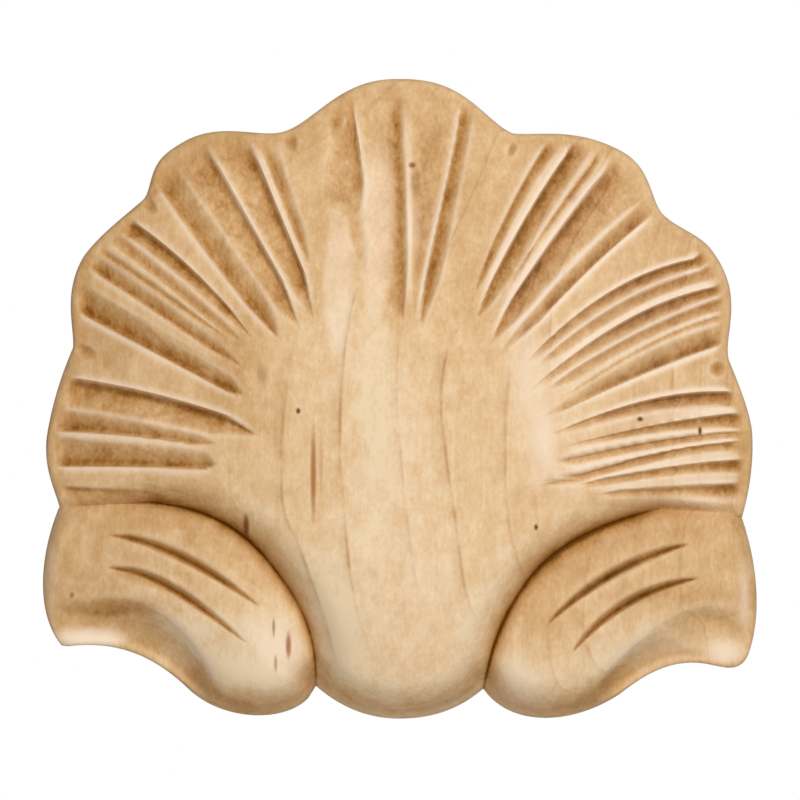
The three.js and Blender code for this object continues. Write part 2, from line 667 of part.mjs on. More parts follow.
// Near the hub the spokes would crowd, so the first rows are evenly spaced
const COARSE_GAPS = [15, 6];

function shellGeometry() {
  const mesher = new Mesher();
  const front = ({ x, z, angle }) => ({ id: mesher.vertex(x, -surfaceHeight(x, z), z), x, z, angle });
  const rings = FAN_ROWS.map((_, row) => {
    const gap = COARSE_GAPS[row];
    const spokes = gap ? evenSpokes(-180, 180, gap) : SPOKES;
    return spokes.map((spoke) => front(placeVertex(spoke, row)));
  });
  const hub = mesher.vertex(HUB.x, -surfaceHeight(HUB.x, HUB.y + 1e-3), HUB.y);
  rings[0].forEach((point, i) => {
    mesher.triangle(hub, rings[0][(i + 1) % rings[0].length].id, point.id);
  });
  for (let row = 0; row + 1 < rings.length; row++) {
    const [inner, outer] = [rings[row], rings[row + 1]];
    if (row < COARSE_GAPS.length) {
      mesher.zip(inner, outer);
      continue;
    }
    inner.forEach((point, i) => {
      const after = (i + 1) % inner.length;
      mesher.quad(point.id, inner[after].id, outer[after].id, outer[i].id);
    });
  }
  const edge = rings.at(-1);
  const back = edge.map(({ x, z }) => mesher.vertex(x, 0, z));
  const middle = mesher.vertex(HUB.x, 0, HUB.y);
  edge.forEach((point, i) => {
    const after = (i + 1) % edge.length;
    mesher.quad(point.id, edge[after].id, back[after], back[i]);
    mesher.triangle(middle, back[i], back[after]);
  });
  return mesher.geometry();
}

const maple = new THREE.MeshStandardMaterial({ color: '#d9b184', roughness: 0.6, metalness: 0 });
const shell = new THREE.Mesh(shellGeometry(), maple);
shell.name = 'shell_ornament';

const part = new THREE.Group();
part.name = 'carved_shell_ornament';
part.add(shell);

export default part;
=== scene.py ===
"""Carved shell ornament in unfinished maple.

One piece of wood with a flat back: a scalloped fan of gouged flutes, a smooth
stem at its foot and a scroll leaf on each side. The flat back lies in the
plane y = 0, the carving faces -Y and +Z is up.

Plan places are in hundredths of the width, as (right, up) from the origin.
Angles are in degrees round the hub, 0 straight up, clockwise as seen from the
front. Heights are millimetres above the back.
"""

import logging
import math
from dataclasses import dataclass, field
from enum import Enum

import bpy
import numpy as np
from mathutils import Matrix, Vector


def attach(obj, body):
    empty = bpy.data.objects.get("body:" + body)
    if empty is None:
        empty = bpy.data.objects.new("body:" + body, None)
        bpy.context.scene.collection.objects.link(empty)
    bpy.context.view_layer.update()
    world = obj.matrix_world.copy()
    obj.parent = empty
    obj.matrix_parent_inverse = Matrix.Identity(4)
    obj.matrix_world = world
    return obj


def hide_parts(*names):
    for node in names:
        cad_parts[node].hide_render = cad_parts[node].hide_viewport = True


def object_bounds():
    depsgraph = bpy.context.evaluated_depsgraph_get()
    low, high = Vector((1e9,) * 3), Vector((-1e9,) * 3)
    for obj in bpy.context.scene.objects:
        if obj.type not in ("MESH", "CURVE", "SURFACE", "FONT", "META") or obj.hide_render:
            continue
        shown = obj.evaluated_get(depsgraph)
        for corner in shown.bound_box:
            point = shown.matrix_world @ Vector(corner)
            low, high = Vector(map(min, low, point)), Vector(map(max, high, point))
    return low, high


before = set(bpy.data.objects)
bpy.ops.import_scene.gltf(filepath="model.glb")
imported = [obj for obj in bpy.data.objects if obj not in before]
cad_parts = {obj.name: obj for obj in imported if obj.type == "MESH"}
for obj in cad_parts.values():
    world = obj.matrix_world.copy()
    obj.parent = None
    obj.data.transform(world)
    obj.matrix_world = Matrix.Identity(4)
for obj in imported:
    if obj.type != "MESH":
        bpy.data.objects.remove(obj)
START_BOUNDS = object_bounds()

log = logging.getLogger("shell_ornament")

MM = 0.001
WIDTH = 114.3
UNIT = WIDTH / 100
HUB_X = 0.1 * UNIT
HUB_Z = -12.8 * UNIT
# Radii, in hundredths of the width, between which a flute's three edge angles
# are given, and how far past the outer one its bend goes on.
BEND_INNER = 25.4
BEND_OUTER = 49.9
BEND_PAST = 1.1

Pair = tuple[float, float]
Edge = tuple[float, float, float]
Colour = tuple[float, float, float, float]
Tree = bpy.types.NodeTree
Socket = bpy.types.NodeSocket


def smooth(start: float, end: float, value: np.ndarray) -> np.ndarray:
    """Eases values from 0 at start to 1 at end."""
    share = np.clip((value - start) / (end - start), 0, 1)
    return share * share * (3 - 2 * share)


def mix(a: np.ndarray, b: np.ndarray, share: np.ndarray) -> np.ndarray:
    """Blends from a at share 0 to b at share 1."""
    return a + (b - a) * share


def sided(pair: Pair, x: np.ndarray) -> np.ndarray:
    """Takes the first value of a pair on the left and the second on the right."""
    return np.where(x < 0, *pair)


def linear(hex_colour: str) -> Colour:
    """Turns an sRGB hex colour into linear RGBA.

    Args:
        hex_colour: Six hex digits.

    Returns:
        The linear colour with alpha 1.
    """
    parts = [int(hex_colour[i : i + 2], 16) / 255 for i in (0, 2, 4)]
    red, green, blue = (c / 12.92 if c <= 0.04045 else ((c + 0.055) / 1.055) ** 2.4 for c in parts)
    return red, green, blue, 1.0


def polar(x: np.ndarray, z: np.ndarray) -> tuple[np.ndarray, np.ndarray]:
    """Gives the angles in degrees and the radii in millimetres of places, round the hub."""
    across, up = x - HUB_X, z - HUB_Z
    return np.degrees(np.arctan2(across, up)), np.hypot(across, up)


def plan_line(start: Pair, *stretches: tuple[Pair, ...]) -> np.ndarray:
    """Samples a plan line of straight and Bezier stretches.

    Args:
        start: First place.
        *stretches: One place for a straight stretch, three for a Bezier one.

    Returns:
        The points in millimetres, one row each.
    """
    points = [np.array(start, float)]
    for stretch in stretches:
        begin = points[-1]
        if len(stretch) == 1:
            points.append(np.array(stretch[0], float))
            continue
        first, second, end = (np.array(place, float) for place in stretch)
        for t in np.linspace(0, 1, 21)[1:]:
            s = 1 - t
            near = s**3 * begin + 3 * s * s * t * first
            points.append(near + 3 * s * t * t * second + t**3 * end)
    return np.array(points) * UNIT


def line_distance(line: np.ndarray, x: np.ndarray, z: np.ndarray) -> tuple[np.ndarray, np.ndarray]:
    """Measures how far places are from a line.

    Args:
        line: The line's points.
        x: Places to the right.
        z: Places up.

    Returns:
        The distances, and the share of the line's points passed at the nearest place.
    """
    best = np.full(x.shape, np.inf)
    share = np.zeros(x.shape)
    for i, (a, b) in enumerate(zip(line[:-1], line[1:])):
        run = b - a
        along = np.clip(((x - a[0]) * run[0] + (z - a[1]) * run[1]) / (run @ run), 0, 1)
        away = np.hypot(x - a[0] - along * run[0], z - a[1] - along * run[1])
        nearer = away < best
        best = np.where(nearer, away, best)
        share = np.where(nearer, (i + along) / (len(line) - 1), share)
    return best, share


def bend(edge: Edge | np.ndarray, radius: np.ndarray) -> np.ndarray:
    """Gives the angle of a flute's edge at a radius.

    Args:
        edge: Angles near the hub, half way and near the rim.
        radius: Radii in millimetres.

    Returns:
        The angles, on a parabola through the three.
    """
    out = np.clip((radius / UNIT - BEND_INNER) / (BEND_OUTER - BEND_INNER), 0, BEND_PAST)
    inner, middle, outer = (1 - out) * (1 - 2 * out), 4 * out * (1 - out), out * (2 * out - 1)
    return edge[0] * inner + edge[1] * middle + edge[2] * outer


def falloff(distance: np.ndarray, reach: np.ndarray) -> np.ndarray:
    """Gives the share of a drop left at a distance from an edge.

    Args:
        distance: Distances from the edge.
        reach: How far the close round runs.

    Returns:
        The shares: a close round and a wide one together.
    """
    close = np.clip(1 - distance / reach, 0, 1) ** 2.2
    wide = np.clip(1 - distance / (reach * 2.3), 0, 1) ** 2
    return mix(wide, close, 0.7)


@dataclass(frozen=True)
class Scallop:
    """One scallop of the rim.

    Args:
        start: Left notch as angle and radius.
        crest: Crest as angle and radius.
        end: Right notch as angle and radius.
        soft: How rounded each side is at its notch.
        full: How full each side stays.
    """

    start: Pair
    crest: Pair
    end: Pair
    soft: Pair
    full: Pair


@dataclass(frozen=True)
class Gouge:
    """One gouge cut in the fan.

    Args:
        left: Angles of the left edge.
        right: Angles of the right edge.
        reach: Radius where it starts near the hub.
        inset: How far inside the rim it stops, in millimetres.
        run_out: Length over which it runs out at the rim, in millimetres.
        tip: Angle of its inner end, or None for the middle.
        depth: Share of the usual depth.
        lean: Where across the cut its bottom lies.
        blunt: Share of its length over which it opens.
    """

    left: Edge
    right: Edge
    reach: float
    inset: float
    run_out: float
    tip: float | None = None
    depth: float = 1.0
    lean: float = 0.5
    blunt: float = 0.25

    @property
    def tip_angle(self) -> float:
        """Angle of the inner end."""
        return (self.left[0] + self.right[0]) / 2 if self.tip is None else self.tip


@dataclass(frozen=True)
class Dimple:
    """A small gouge mark at a notch.

    Args:
        at: Centre in plan.
        size: Half length and half width in millimetres.
        depth: Depth in millimetres.
    """

    at: Pair
    size: Pair
    depth: float


class Side(Enum):
    """Side of the ornament, as seen from the front."""

    LEFT = -1
    RIGHT = 1


SCALLOPS = (
    Scallop((-92.8, 47.7), (-81.6, 50.0), (-66.4, 49.9), (0.4, 1), (1.5, 1)),
    Scallop((-66.4, 49.9), (-53.4, 55.1), (-41.4, 54.3), (0.4, 1), (1.5, 1)),
    Scallop((-41.4, 54.3), (-32.9, 57.5), (-17.7, 52.8), (1, 1), (1.6, 1.25)),
    Scallop((-17.7, 52.8), (-0.2, 57.7), (17.8, 52.5), (1, 1), (1.25, 1.5)),
    Scallop((17.8, 52.5), (33.8, 56.9), (43.9, 53.5), (0.4, 1), (1.5, 1.25)),
    Scallop((43.9, 53.5), (52.4, 55.3), (68.4, 49.7), (1, 0.8), (1, 1.5)),
    Scallop((68.4, 49.7), (79.9, 50.2), (94.0, 48.3), (1, 0), (1, 1)),
)
FAN_START = SCALLOPS[0].start[0]
FAN_END = SCALLOPS[-1].end[0]

FLUTES = (
    Gouge((-92.6, -92.4, -92.4), (-90.8, -89.8, -89.1), 32.3, 1.8, 2.2, depth=0.5, lean=0.8),
    Gouge((-83.8, -85.1, -86.4), (-79.8, -81.2, -82.5), 25.8, 2.2, 2.2, lean=0.2, blunt=0.08),
    Gouge((-76.9, -78.6, -80.6), (-74.6, -75.6, -77.2), 26.6, 2.2, 2.2, lean=0.25, blunt=0.12),
    Gouge((-71.4, -73.6, -75.5), (-66.0, -68.5, -71.3), 21.0, 2.0, 2.2, depth=1.15, lean=0.72),
    Gouge((-60.1, -60.7, -61.1), (-56.9, -57.4, -57.9), 25.4, 2.6, 2.2, depth=1.2, lean=0.25, blunt=0.1),
    Gouge((-55.9, -56.7, -57.6), (-55.0, -56.0, -57.0), 31.0, 3.0, 2.2, depth=0.8),
    Gouge((-52.9, -53.7, -54.4), (-50.6, -51.6, -52.3), 27.5, 3.0, 2.2, lean=0.3),
    Gouge((-49.1, -50.2, -51.5), (-48.3, -49.3, -50.5), 32.0, 1.5, 2.2, depth=1.2),
    Gouge((-47.7, -48.5, -49.3), (-45.7, -46.6, -47.4), 30.0, 3.0, 2.2, depth=0.7),
    Gouge((-44.4, -44.8, -46.2), (-43.6, -42.8, -44.0), 29.5, 1.5, 2.2, depth=1.3, lean=0.55),
    Gouge((-39.7, -39.5, -38.9), (-34.6, -34.8, -34.9), 27.0, 1.5, 4, tip=-38.4, lean=0.3),
    Gouge((-33.8, -34.0, -34.2), (-28.8, -28.9, -29.0), 26.9, 0.8, 5, tip=-31.6, lean=0.75),
    Gouge((-28.5, -28.5, -28.6), (-27.9, -27.9, -28.0), 35.0, 1.0, 3, depth=0.9),
    Gouge((-27.7, -27.7, -27.7), (-23.6, -23.3, -23.1), 27.1, 0.8, 5, tip=-26.5, lean=0.75),
    Gouge((-22.6, -22.4, -22.2), (-20.9, -20.6, -20.3), 34.0, 2.0, 4),
    Gouge((-11.5, -13.1, -9.8), (-6.6, -6.2, -6.6), 38.0, 0.5, 4, depth=0.85, lean=0.8, blunt=0.3),
    Gouge((-11.0, -11.0, -11.0), (-6.7, -7.1, -7.4), 29.5, 2.0, 2.2, depth=0.35),
    Gouge((-5.8, -6.2, -6.6), (2.7, 1.8, 0.8), 23.6, 0.2, 7, tip=1.0, depth=0.55, lean=0.78),
    Gouge((3.5, 2.5, 1.6), (5.6, 6.6, 7.6), 23.8, 0.2, 7, tip=4.6, depth=0.45),
    Gouge((6.0, 8.0, 9.0), (9.8, 10.4, 10.7), 22.9, 0.6, 3, tip=7.6, lean=0.35),
    Gouge((20.2, 20.8, 22.4), (21.8, 22.2, 23.9), 29.0, 0.8, 3, lean=0.4),
    Gouge((23.2, 24.2, 25.9), (26.6, 27.2, 28.3), 26.1, 0.8, 3, tip=24.4, lean=0.3),
    Gouge((27.3, 28.5, 30.0), (27.9, 29.1, 30.7), 28.8, 0.8, 3, depth=1.2),
    Gouge((29.8, 30.9, 32.2), (34.2, 35.3, 37.9), 24.1, 0.8, 5, tip=32.0, lean=0.25),
    Gouge((35.4, 36.5, 38.6), (35.9, 37.0, 39.1), 34.0, 1.2, 3, depth=1.2),
    Gouge((36.4, 37.9, 39.9), (39.3, 40.4, 42.2), 23.6, 1.5, 4, tip=36.6, lean=0.7),
    Gouge((44.4, 45.8, 50.4), (45.9, 47.8, 52.2), 25.2, 1.5, 2.2, depth=1.1, lean=0.4, blunt=0.12),
    Gouge((47.0, 48.8, 52.6), (49.4, 50.9, 54.4), 26.5, 2.0, 2.2, depth=0.8, blunt=0.15),
    Gouge((52.0, 52.6, 56.0), (53.5, 55.0, 57.8), 22.9, 1.5, 2.2, depth=1.1, lean=0.4, blunt=0.12),
    Gouge((54.6, 56.0, 58.2), (57.4, 57.8, 59.9), 25.5, 2.0, 2.2, depth=0.9, blunt=0.15),
    Gouge((60.4, 59.4, 61.0), (61.2, 60.1, 61.7), 24.5, 2.0, 2.2, depth=0.9, blunt=0.15),
    Gouge((62.0, 61.6, 63.4), (64.0, 64.6, 65.8), 22.4, 1.6, 2.2, depth=0.9, lean=0.75, blunt=0.15),
    Gouge((69.1, 70.0, 74.0), (70.6, 72.3, 76.0), 22.9, 1.5, 2.2, depth=1.2, lean=0.4, blunt=0.12),
    Gouge((74.8, 75.6, 77.2), (75.8, 77.2, 79.5), 23.6, 1.5, 2.2, depth=1.1, lean=0.4, blunt=0.15),
    Gouge((78.0, 78.6, 80.4), (81.0, 80.4, 81.2), 22.0, 2.4, 2.2, depth=1.0, lean=0.4, blunt=0.12),
    Gouge((83.6, 81.5, 82.0), (86.6, 83.0, 83.3), 19.5, 4.2, 2.2, tip=88.5, depth=1.2, lean=0.35),
    Gouge((87.0, 84.9, 84.9), (89.0, 86.5, 86.8), 25.0, 1.2, 2.2, depth=1.1, blunt=0.15),
    Gouge((90.4, 89.0, 88.6), (92.0, 91.0, 91.6), 28.0, 2.0, 2.2, depth=0.9, blunt=0.15),
)

DIMPLES = (
    Dimple((-34.9, 27.1), (1.8, 1.0), 0.6),
    Dimple((-15.1, 36.0), (1.8, 1.1), 0.6),
    Dimple((15.9, 34.9), (1.3, 0.6), 0.6),
    Dimple((44.7, 4.2), (1.4, 1.3), 0.7),
    Dimple((-43.8, 6.6), (1.9, 1.1), 0.6),
)

LEFT_CLEFT = (-11.6, -40.3)
RIGHT_CLEFT = (11.9, -40.7)
STEM_OUTLINE = plan_line(
    LEFT_CLEFT,
    ((-8.2, -43.3), (-4.3, -44.9), (0.1, -44.9)),
    ((4.4, -44.9), (8.3, -43.8), RIGHT_CLEFT),
)


class RayLine:
    """A line read as a radius at each angle round the hub."""

    def __init__(self, line: np.ndarray, full_turn: bool = False) -> None:
        """Sorts the line's points by angle.

        Args:
            line: The line's points in millimetres.
            full_turn: True if angles run from 0 to 360 instead of by size.
        """
        angle, radius = polar(line[:, 0], line[:, 1])
        self.full_turn = full_turn
        turn = self._turn(angle)
        order = np.argsort(turn, kind="stable")
        self.turns, self.radii = turn[order], radius[order]

    def _turn(self, angle: np.ndarray) -> np.ndarray:
        """Gives the turn that the line is sorted by."""
        return np.where(angle < 0, angle + 360, angle) if self.full_turn else np.abs(angle)

    def at(self, angle: np.ndarray) -> np.ndarray:
        """Reads the line's radius at each angle, held at the line's ends."""
        return np.interp(self._turn(np.asarray(angle, float)), self.turns, self.radii)


@dataclass(frozen=True)
class Leaf:
    """One scroll leaf beside the stem.

    Args:
        side: Which side it is on.
        notch: Angle where it meets the fan's rim.
        outline: Its outer edge.
        seam: Line that parts it from the fan and the stem.
        crest: Its highest line.
        cove: Ridge above the hollow of its lower edge.
        cove_fade: Angles between which the hollow fades in and out.
        cuts: Its two V cuts.
    """

    side: Side
    notch: float
    outline: np.ndarray
    seam: np.ndarray
    crest: np.ndarray
    cove: np.ndarray
    cove_fade: tuple[float, float, float, float]
    cuts: tuple[np.ndarray, np.ndarray]

    @property
    def cleft(self) -> float:
        """Size of the angle where it meets the stem's foot."""
        return float(abs(polar(self.seam[-1, 0], self.seam[-1, 1])[0]))


LEAVES = (
    Leaf(
        side=Side.LEFT,
        notch=FAN_START,
        outline=plan_line(
            (-47.6, -15.1),
            ((-50.7, -22.6), (-50.8, -30.7), (-47.1, -34.8)),
            ((-40.2, -33.8), (-34.9, -35.5), (-29.5, -40.7)),
            ((-24.2, -45.9), (-13.5, -45.6), LEFT_CLEFT),
        ),
        seam=plan_line(
            (-47.6, -15.1),
            ((-34.9, -14.5),),
            ((-22.9, -15.3), (-18.7, -21.9), (-15.6, -26.1)),
            ((-12.4, -30.7), (-11.3, -35.2), LEFT_CLEFT),
        ),
        crest=plan_line(
            (-47.5, -20.5),
            ((-40.6, -21.6), (-30.6, -24.5), (-21.5, -30.3)),
            ((-18.3, -35.9),),
        ),
        cove=plan_line(
            (-44.1, -28.2),
            ((-39.1, -26.8), (-34.9, -28.2), (-32.3, -30.2)),
            ((-29.5, -32.4), (-27.1, -35.9), (-25.6, -39.4)),
        ),
        cove_fade=(108, 115, 131, 141),
        cuts=(
            plan_line((-40.6, -19.1), ((-34.2, -19.6), (-27.4, -23.3), (-19.4, -29.0))),
            plan_line((-40.6, -23.7), ((-34.9, -24.1), (-30.3, -26.9), (-21.2, -34.2))),
        ),
    ),
    Leaf(
        side=Side.RIGHT,
        notch=FAN_END,
        outline=plan_line(
            (48.0, -16.1),
            ((50.3, -22.6), (51.0, -29.6), (49.4, -34.9)),
            ((48.7, -37.7), (47.1, -38.0), (45.1, -37.6)),
            ((39.5, -35.9), (35.3, -38.0), (31.1, -41.4)),
            ((24.3, -46.0), (15.6, -46.1), RIGHT_CLEFT),
        ),
        seam=plan_line(
            (48.0, -16.1),
            ((36.7, -15.3),),
            ((26.9, -17.7), (20.5, -21.2), (16.9, -27.1)),
            ((13.8, -31.7), (12.7, -35.9), RIGHT_CLEFT),
        ),
        crest=plan_line(
            (47.9, -21.2),
            ((40.9, -22.9), (31.1, -26.8), (22.7, -32.7)),
            ((19.6, -37.7),),
        ),
        cove=plan_line(
            (45.8, -29.0),
            ((42.3, -28.4), (39.5, -29.5), (36.7, -31.0)),
            ((33.2, -33.8), (29.7, -36.9), (27.4, -40.0)),
        ),
        cove_fade=(109, 113, 130, 140),
        cuts=(
            plan_line((40.7, -20.3), ((34.6, -21.8), (27.0, -25.3), (20.8, -31.4))),
            plan_line((42.0, -25.1), ((36.2, -26.2), (29.4, -28.8), (24.2, -35.5))),
        ),
    ),
)


@dataclass(frozen=True)
class Sizes:
    """Heights, depths and widths of the carving, in millimetres.

    A span is a pair of distances to the side, in hundredths of the width, and
    a roll is a pair of widths, at its span's start and at its end. Powers,
    leans and eases are plain numbers.
    """

    # Dome: height of its top, half widths, and the powers of its fall.
    relief: float = 19.0
    dome_half: float = 50.3 * UNIT
    dome_top: float = 57.7 * UNIT
    dome_fullness: float = 2.4
    dome_fall: float = 0.875
    # Fan's rim.
    rim_height: float = 6.5
    rim_round: float = 1.1
    # Stem, and the foot of the stem and the leaves.
    stem_swell: float = 0.8
    stem_fall: float = 1.2
    foot_height: float = 4.5
    foot_edge: float = 6.0
    foot_span: Pair = (44, 26)
    foot_roll: Pair = (2.6, 6.5)
    foot_roll_span: Pair = (39, 25)
    # Flutes: most depth, share of a wall's gentle run past the edge, depth to width.
    flute_depth: float = 1.5
    flute_ease: float = 0.4
    flute_steepness: float = 0.52
    # Seams between the leaves and the body.
    seam_depth: float = 1.5
    seam_round: float = 2.4
    seam_deep_span: Pair = (44, 33)
    seam_roll: Pair = (2.6, 6.0)
    seam_roll_span: Pair = (44, 26)
    seam_clearance: float = 2.5
    # V cuts: the lean is the share of the width on the side of the hub.
    cut_depth: float = 1.3
    cut_width: float = 2.0
    cut_lean: float = 0.65
    # Leaves and their coves.
    leaf_tip: float = 6.8
    leaf_rise: float = 5.6
    leaf_rise_span: Pair = (50, 22)
    leaf_crown: float = 1.5
    leaf_crown_reach: float = 8.75 * UNIT
    cove_floor: float = 5.4
    cove_lip: float = 0.5


# Length in millimetres, turn and start in radians of each wave that the hand leaves.
HAND_WAVES = (
    (11.0, 0.4, 0.3),
    (7.3, 1.7, 2.1),
    (5.1, 2.6, 4.0),
    (8.9, 1.1, 5.2),
    (3.7, 0.9, 1.2),
)


@dataclass
class Carving:
    """The carved face, as a height above the back at each place in plan.

    Args:
        sizes: Its heights, depths and widths.
    """

    sizes: Sizes = field(default_factory=Sizes)

    def __post_init__(self) -> None:
        """Reads the outlines round the hub."""
        self.stem_rays = RayLine(STEM_OUTLINE, full_turn=True)
        self.outline_rays = {leaf.side: RayLine(leaf.outline) for leaf in LEAVES}
        self.seam_rays = {leaf.side: RayLine(leaf.seam[1:]) for leaf in LEAVES}
        self.cove_rays = {leaf.side: RayLine(leaf.cove) for leaf in LEAVES}
        self.cut_rays = {leaf.side: tuple(RayLine(cut) for cut in leaf.cuts) for leaf in LEAVES}
        left, right = LEAVES
        self.lower_outline = np.vstack([left.outline, STEM_OUTLINE[1:], right.outline[-2::-1]])

    @staticmethod
    def in_fan(angle: np.ndarray) -> np.ndarray:
        """Tells which angles lie in the fan."""
        return (angle >= FAN_START) & (angle <= FAN_END)

    @staticmethod
    def in_stem(angle: np.ndarray) -> np.ndarray:
        """Tells which angles lie in the stem's foot, where there is no leaf."""
        left, right = LEAVES
        return (angle <= -left.cleft) | (angle >= right.cleft)

    def rim_radius(self, angle: np.ndarray) -> np.ndarray:
        """Gives the radius of the scalloped rim.

        Args:
            angle: Angles in the fan.

        Returns:
            The radii in millimetres.
        """
        radius = np.full(np.shape(angle), SCALLOPS[0].start[1], float)
        for scallop in SCALLOPS:
            for side, notch in enumerate((scallop.start, scallop.end)):
                away = np.clip((angle - scallop.crest[0]) / (notch[0] - scallop.crest[0]), 0, 1)
                drop = mix(away**1.3, smooth(0, 1, away ** scallop.full[side]), scallop.soft[side])
                low, high = sorted((notch[0], scallop.crest[0]))
                inside = (angle >= low) & (angle <= high)
                radius = np.where(inside, mix(scallop.crest[1], notch[1], drop), radius)
        radius = np.where(angle > FAN_END, SCALLOPS[-1].end[1], radius)
        return radius * UNIT

    @staticmethod
    def by_side(angle: np.ndarray, rays: dict[Side, RayLine]) -> np.ndarray:
        """Reads the radius of a line that each leaf has, by the side an angle is on."""
        return np.where(angle < 0, rays[Side.LEFT].at(angle), rays[Side.RIGHT].at(angle))

    def flute_depth(self, angle: np.ndarray, radius: np.ndarray) -> np.ndarray:
        """Gives the depth that the flutes take off.

        Args:
            angle: Angles in degrees.
            radius: Radii in millimetres.

        Returns:
            The depths in millimetres.
        """
        size = self.sizes
        deepest = np.zeros(angle.shape)
        rim = self.rim_radius(angle)
        for flute in FLUTES:
            # It opens from its tip over the blunt share of its length and runs out at the rim.
            reach, end = flute.reach * UNIT, rim - 0.35 * flute.inset
            inward = np.clip((radius - reach) / (end - reach) / flute.blunt, 0, 1)
            outward = np.clip((end - radius) / (1.3 * flute.run_out), 0, 1)
            opening = 1 - (1 - inward) ** 1.6
            left, right = bend(flute.left, radius), bend(flute.right, radius)
            start = mix(flute.tip_angle, left, opening)
            span = np.maximum(mix(flute.tip_angle, right, opening) - start, 1e-6)
            across = (angle - start) / span - flute.lean
            # Its lowest line leans to one side: that wall is steep, and the other is
            # gentle and eases past the cut's edge.
            rightward = flute.lean > 0.5
            low = flute.lean + (size.flute_ease if rightward else 0)
            high = 1 - flute.lean + (0 if rightward else size.flute_ease)
            away = np.clip(np.where(across < 0, -across / low, across / high), 0, 1)
            gentle = (across < 0) == rightward
            width = np.radians(right - left) * radius
            full = np.minimum(width * size.flute_steepness, size.flute_depth) * flute.depth
            profile = np.where(gentle, 1 - away**1.2, 1 - away**1.6)
            depth = full * opening**0.7 * smooth(0, 1, outward) * profile
            deepest = np.maximum(deepest, depth)
        return deepest

    @staticmethod
    def dimple_depth(x: np.ndarray, z: np.ndarray) -> np.ndarray:
        """Gives the depth of the marks at the notches.

        Args:
            x: Places to the right.
            z: Places up.

        Returns:
            The depths in millimetres.
        """
        depth = np.zeros(x.shape)
        for dimple in DIMPLES:
            right, up = dimple.at[0] * UNIT, dimple.at[1] * UNIT
            turn = np.radians(polar(right, up)[0])
            along = (x - right) * np.sin(turn) + (z - up) * np.cos(turn)
            across = (x - right) * np.cos(turn) - (z - up) * np.sin(turn)
            spread = (along / dimple.size[0]) ** 2 + (across / dimple.size[1]) ** 2
            depth += dimple.depth * np.maximum(0, 1 - spread)
        return depth

    def dome_height(self, x: np.ndarray, z: np.ndarray) -> np.ndarray:
        """Gives the smooth dome before the seams and flutes are cut.

        Args:
            x: Places to the right.
            z: Places up.

        Returns:
            The heights in millimetres.
        """
        size = self.sizes
        up = (z - HUB_Z) / UNIT
        across = np.abs(x - HUB_X) / size.dome_half
        upward = np.maximum((z - HUB_Z) / size.dome_top, 0)
        spread = across**size.dome_fullness + upward**size.dome_fullness
        top = size.relief - size.stem_swell
        stem = size.stem_swell * smooth(0, -10.4, up) - size.stem_fall * smooth(-12.1, -30, up)
        dome = top - (top - size.rim_height) * spread**size.dome_fall + stem
        return np.maximum(dome, size.foot_height)

    def leaf_height(self, leaf: Leaf, x: np.ndarray, z: np.ndarray) -> np.ndarray:
        """Gives a leaf's own surface.

        Args:
            leaf: The leaf.
            x: Places to the right.
            z: Places up.

        Returns:
            The heights in millimetres.
        """
        size = self.sizes
        crest = line_distance(leaf.crest, x, z)[0] / size.leaf_crown_reach
        rise = size.leaf_rise * smooth(*size.leaf_rise_span, np.abs(x) / UNIT)
        return size.leaf_tip + rise + size.leaf_crown * (1 - np.clip(crest, 0, 1) ** 2)

    def cove_height(
        self, leaf: Leaf, angle: np.ndarray, radius: np.ndarray, height: np.ndarray
    ) -> np.ndarray:
        """Hollows a leaf below its cove ridge.

        Args:
            leaf: The leaf.
            angle: Angles in degrees.
            radius: Radii in millimetres.
            height: Heights so far.

        Returns:
            The hollowed heights.
        """
        size = self.sizes
        turn = np.abs(angle)
        ridge = self.cove_rays[leaf.side].at(angle)
        start, full, waning, end = leaf.cove_fade
        strength = smooth(start, full, turn) * smooth(end, waning, turn)
        reach = np.maximum(self.outline_rays[leaf.side].at(angle) - ridge, 1)
        down = np.clip((radius - ridge) / reach, 0, 1)
        cove = size.cove_floor + np.maximum(height - size.cove_floor, 0) * (1 - down) ** 2
        cove = np.minimum(cove + size.cove_lip * smooth(0.7, 1, down), height + size.cove_lip)
        return np.where(radius > ridge, mix(height, cove, strength), height)

    def cut_depth(self, leaf: Leaf, x: np.ndarray, z: np.ndarray) -> np.ndarray:
        """Gives the depth of a leaf's V cuts.

        Args:
            leaf: The leaf.
            x: Places to the right.
            z: Places up.

        Returns:
            The depths in millimetres.
        """
        size = self.sizes
        angle, radius = polar(x, z)
        depth = np.zeros(x.shape)
        for cut, rays in zip(leaf.cuts, self.cut_rays[leaf.side]):
            distance, share = line_distance(cut, x, z)
            taper = np.maximum(np.sin(np.pi * np.clip(share, 0, 1)), 1e-3) ** 0.55
            part = np.where(radius < rays.at(angle), size.cut_lean, 1 - size.cut_lean)
            wall = np.clip(1 - distance / (part * size.cut_width * taper), 0, 1)
            depth += size.cut_depth * taper * wall
        return depth

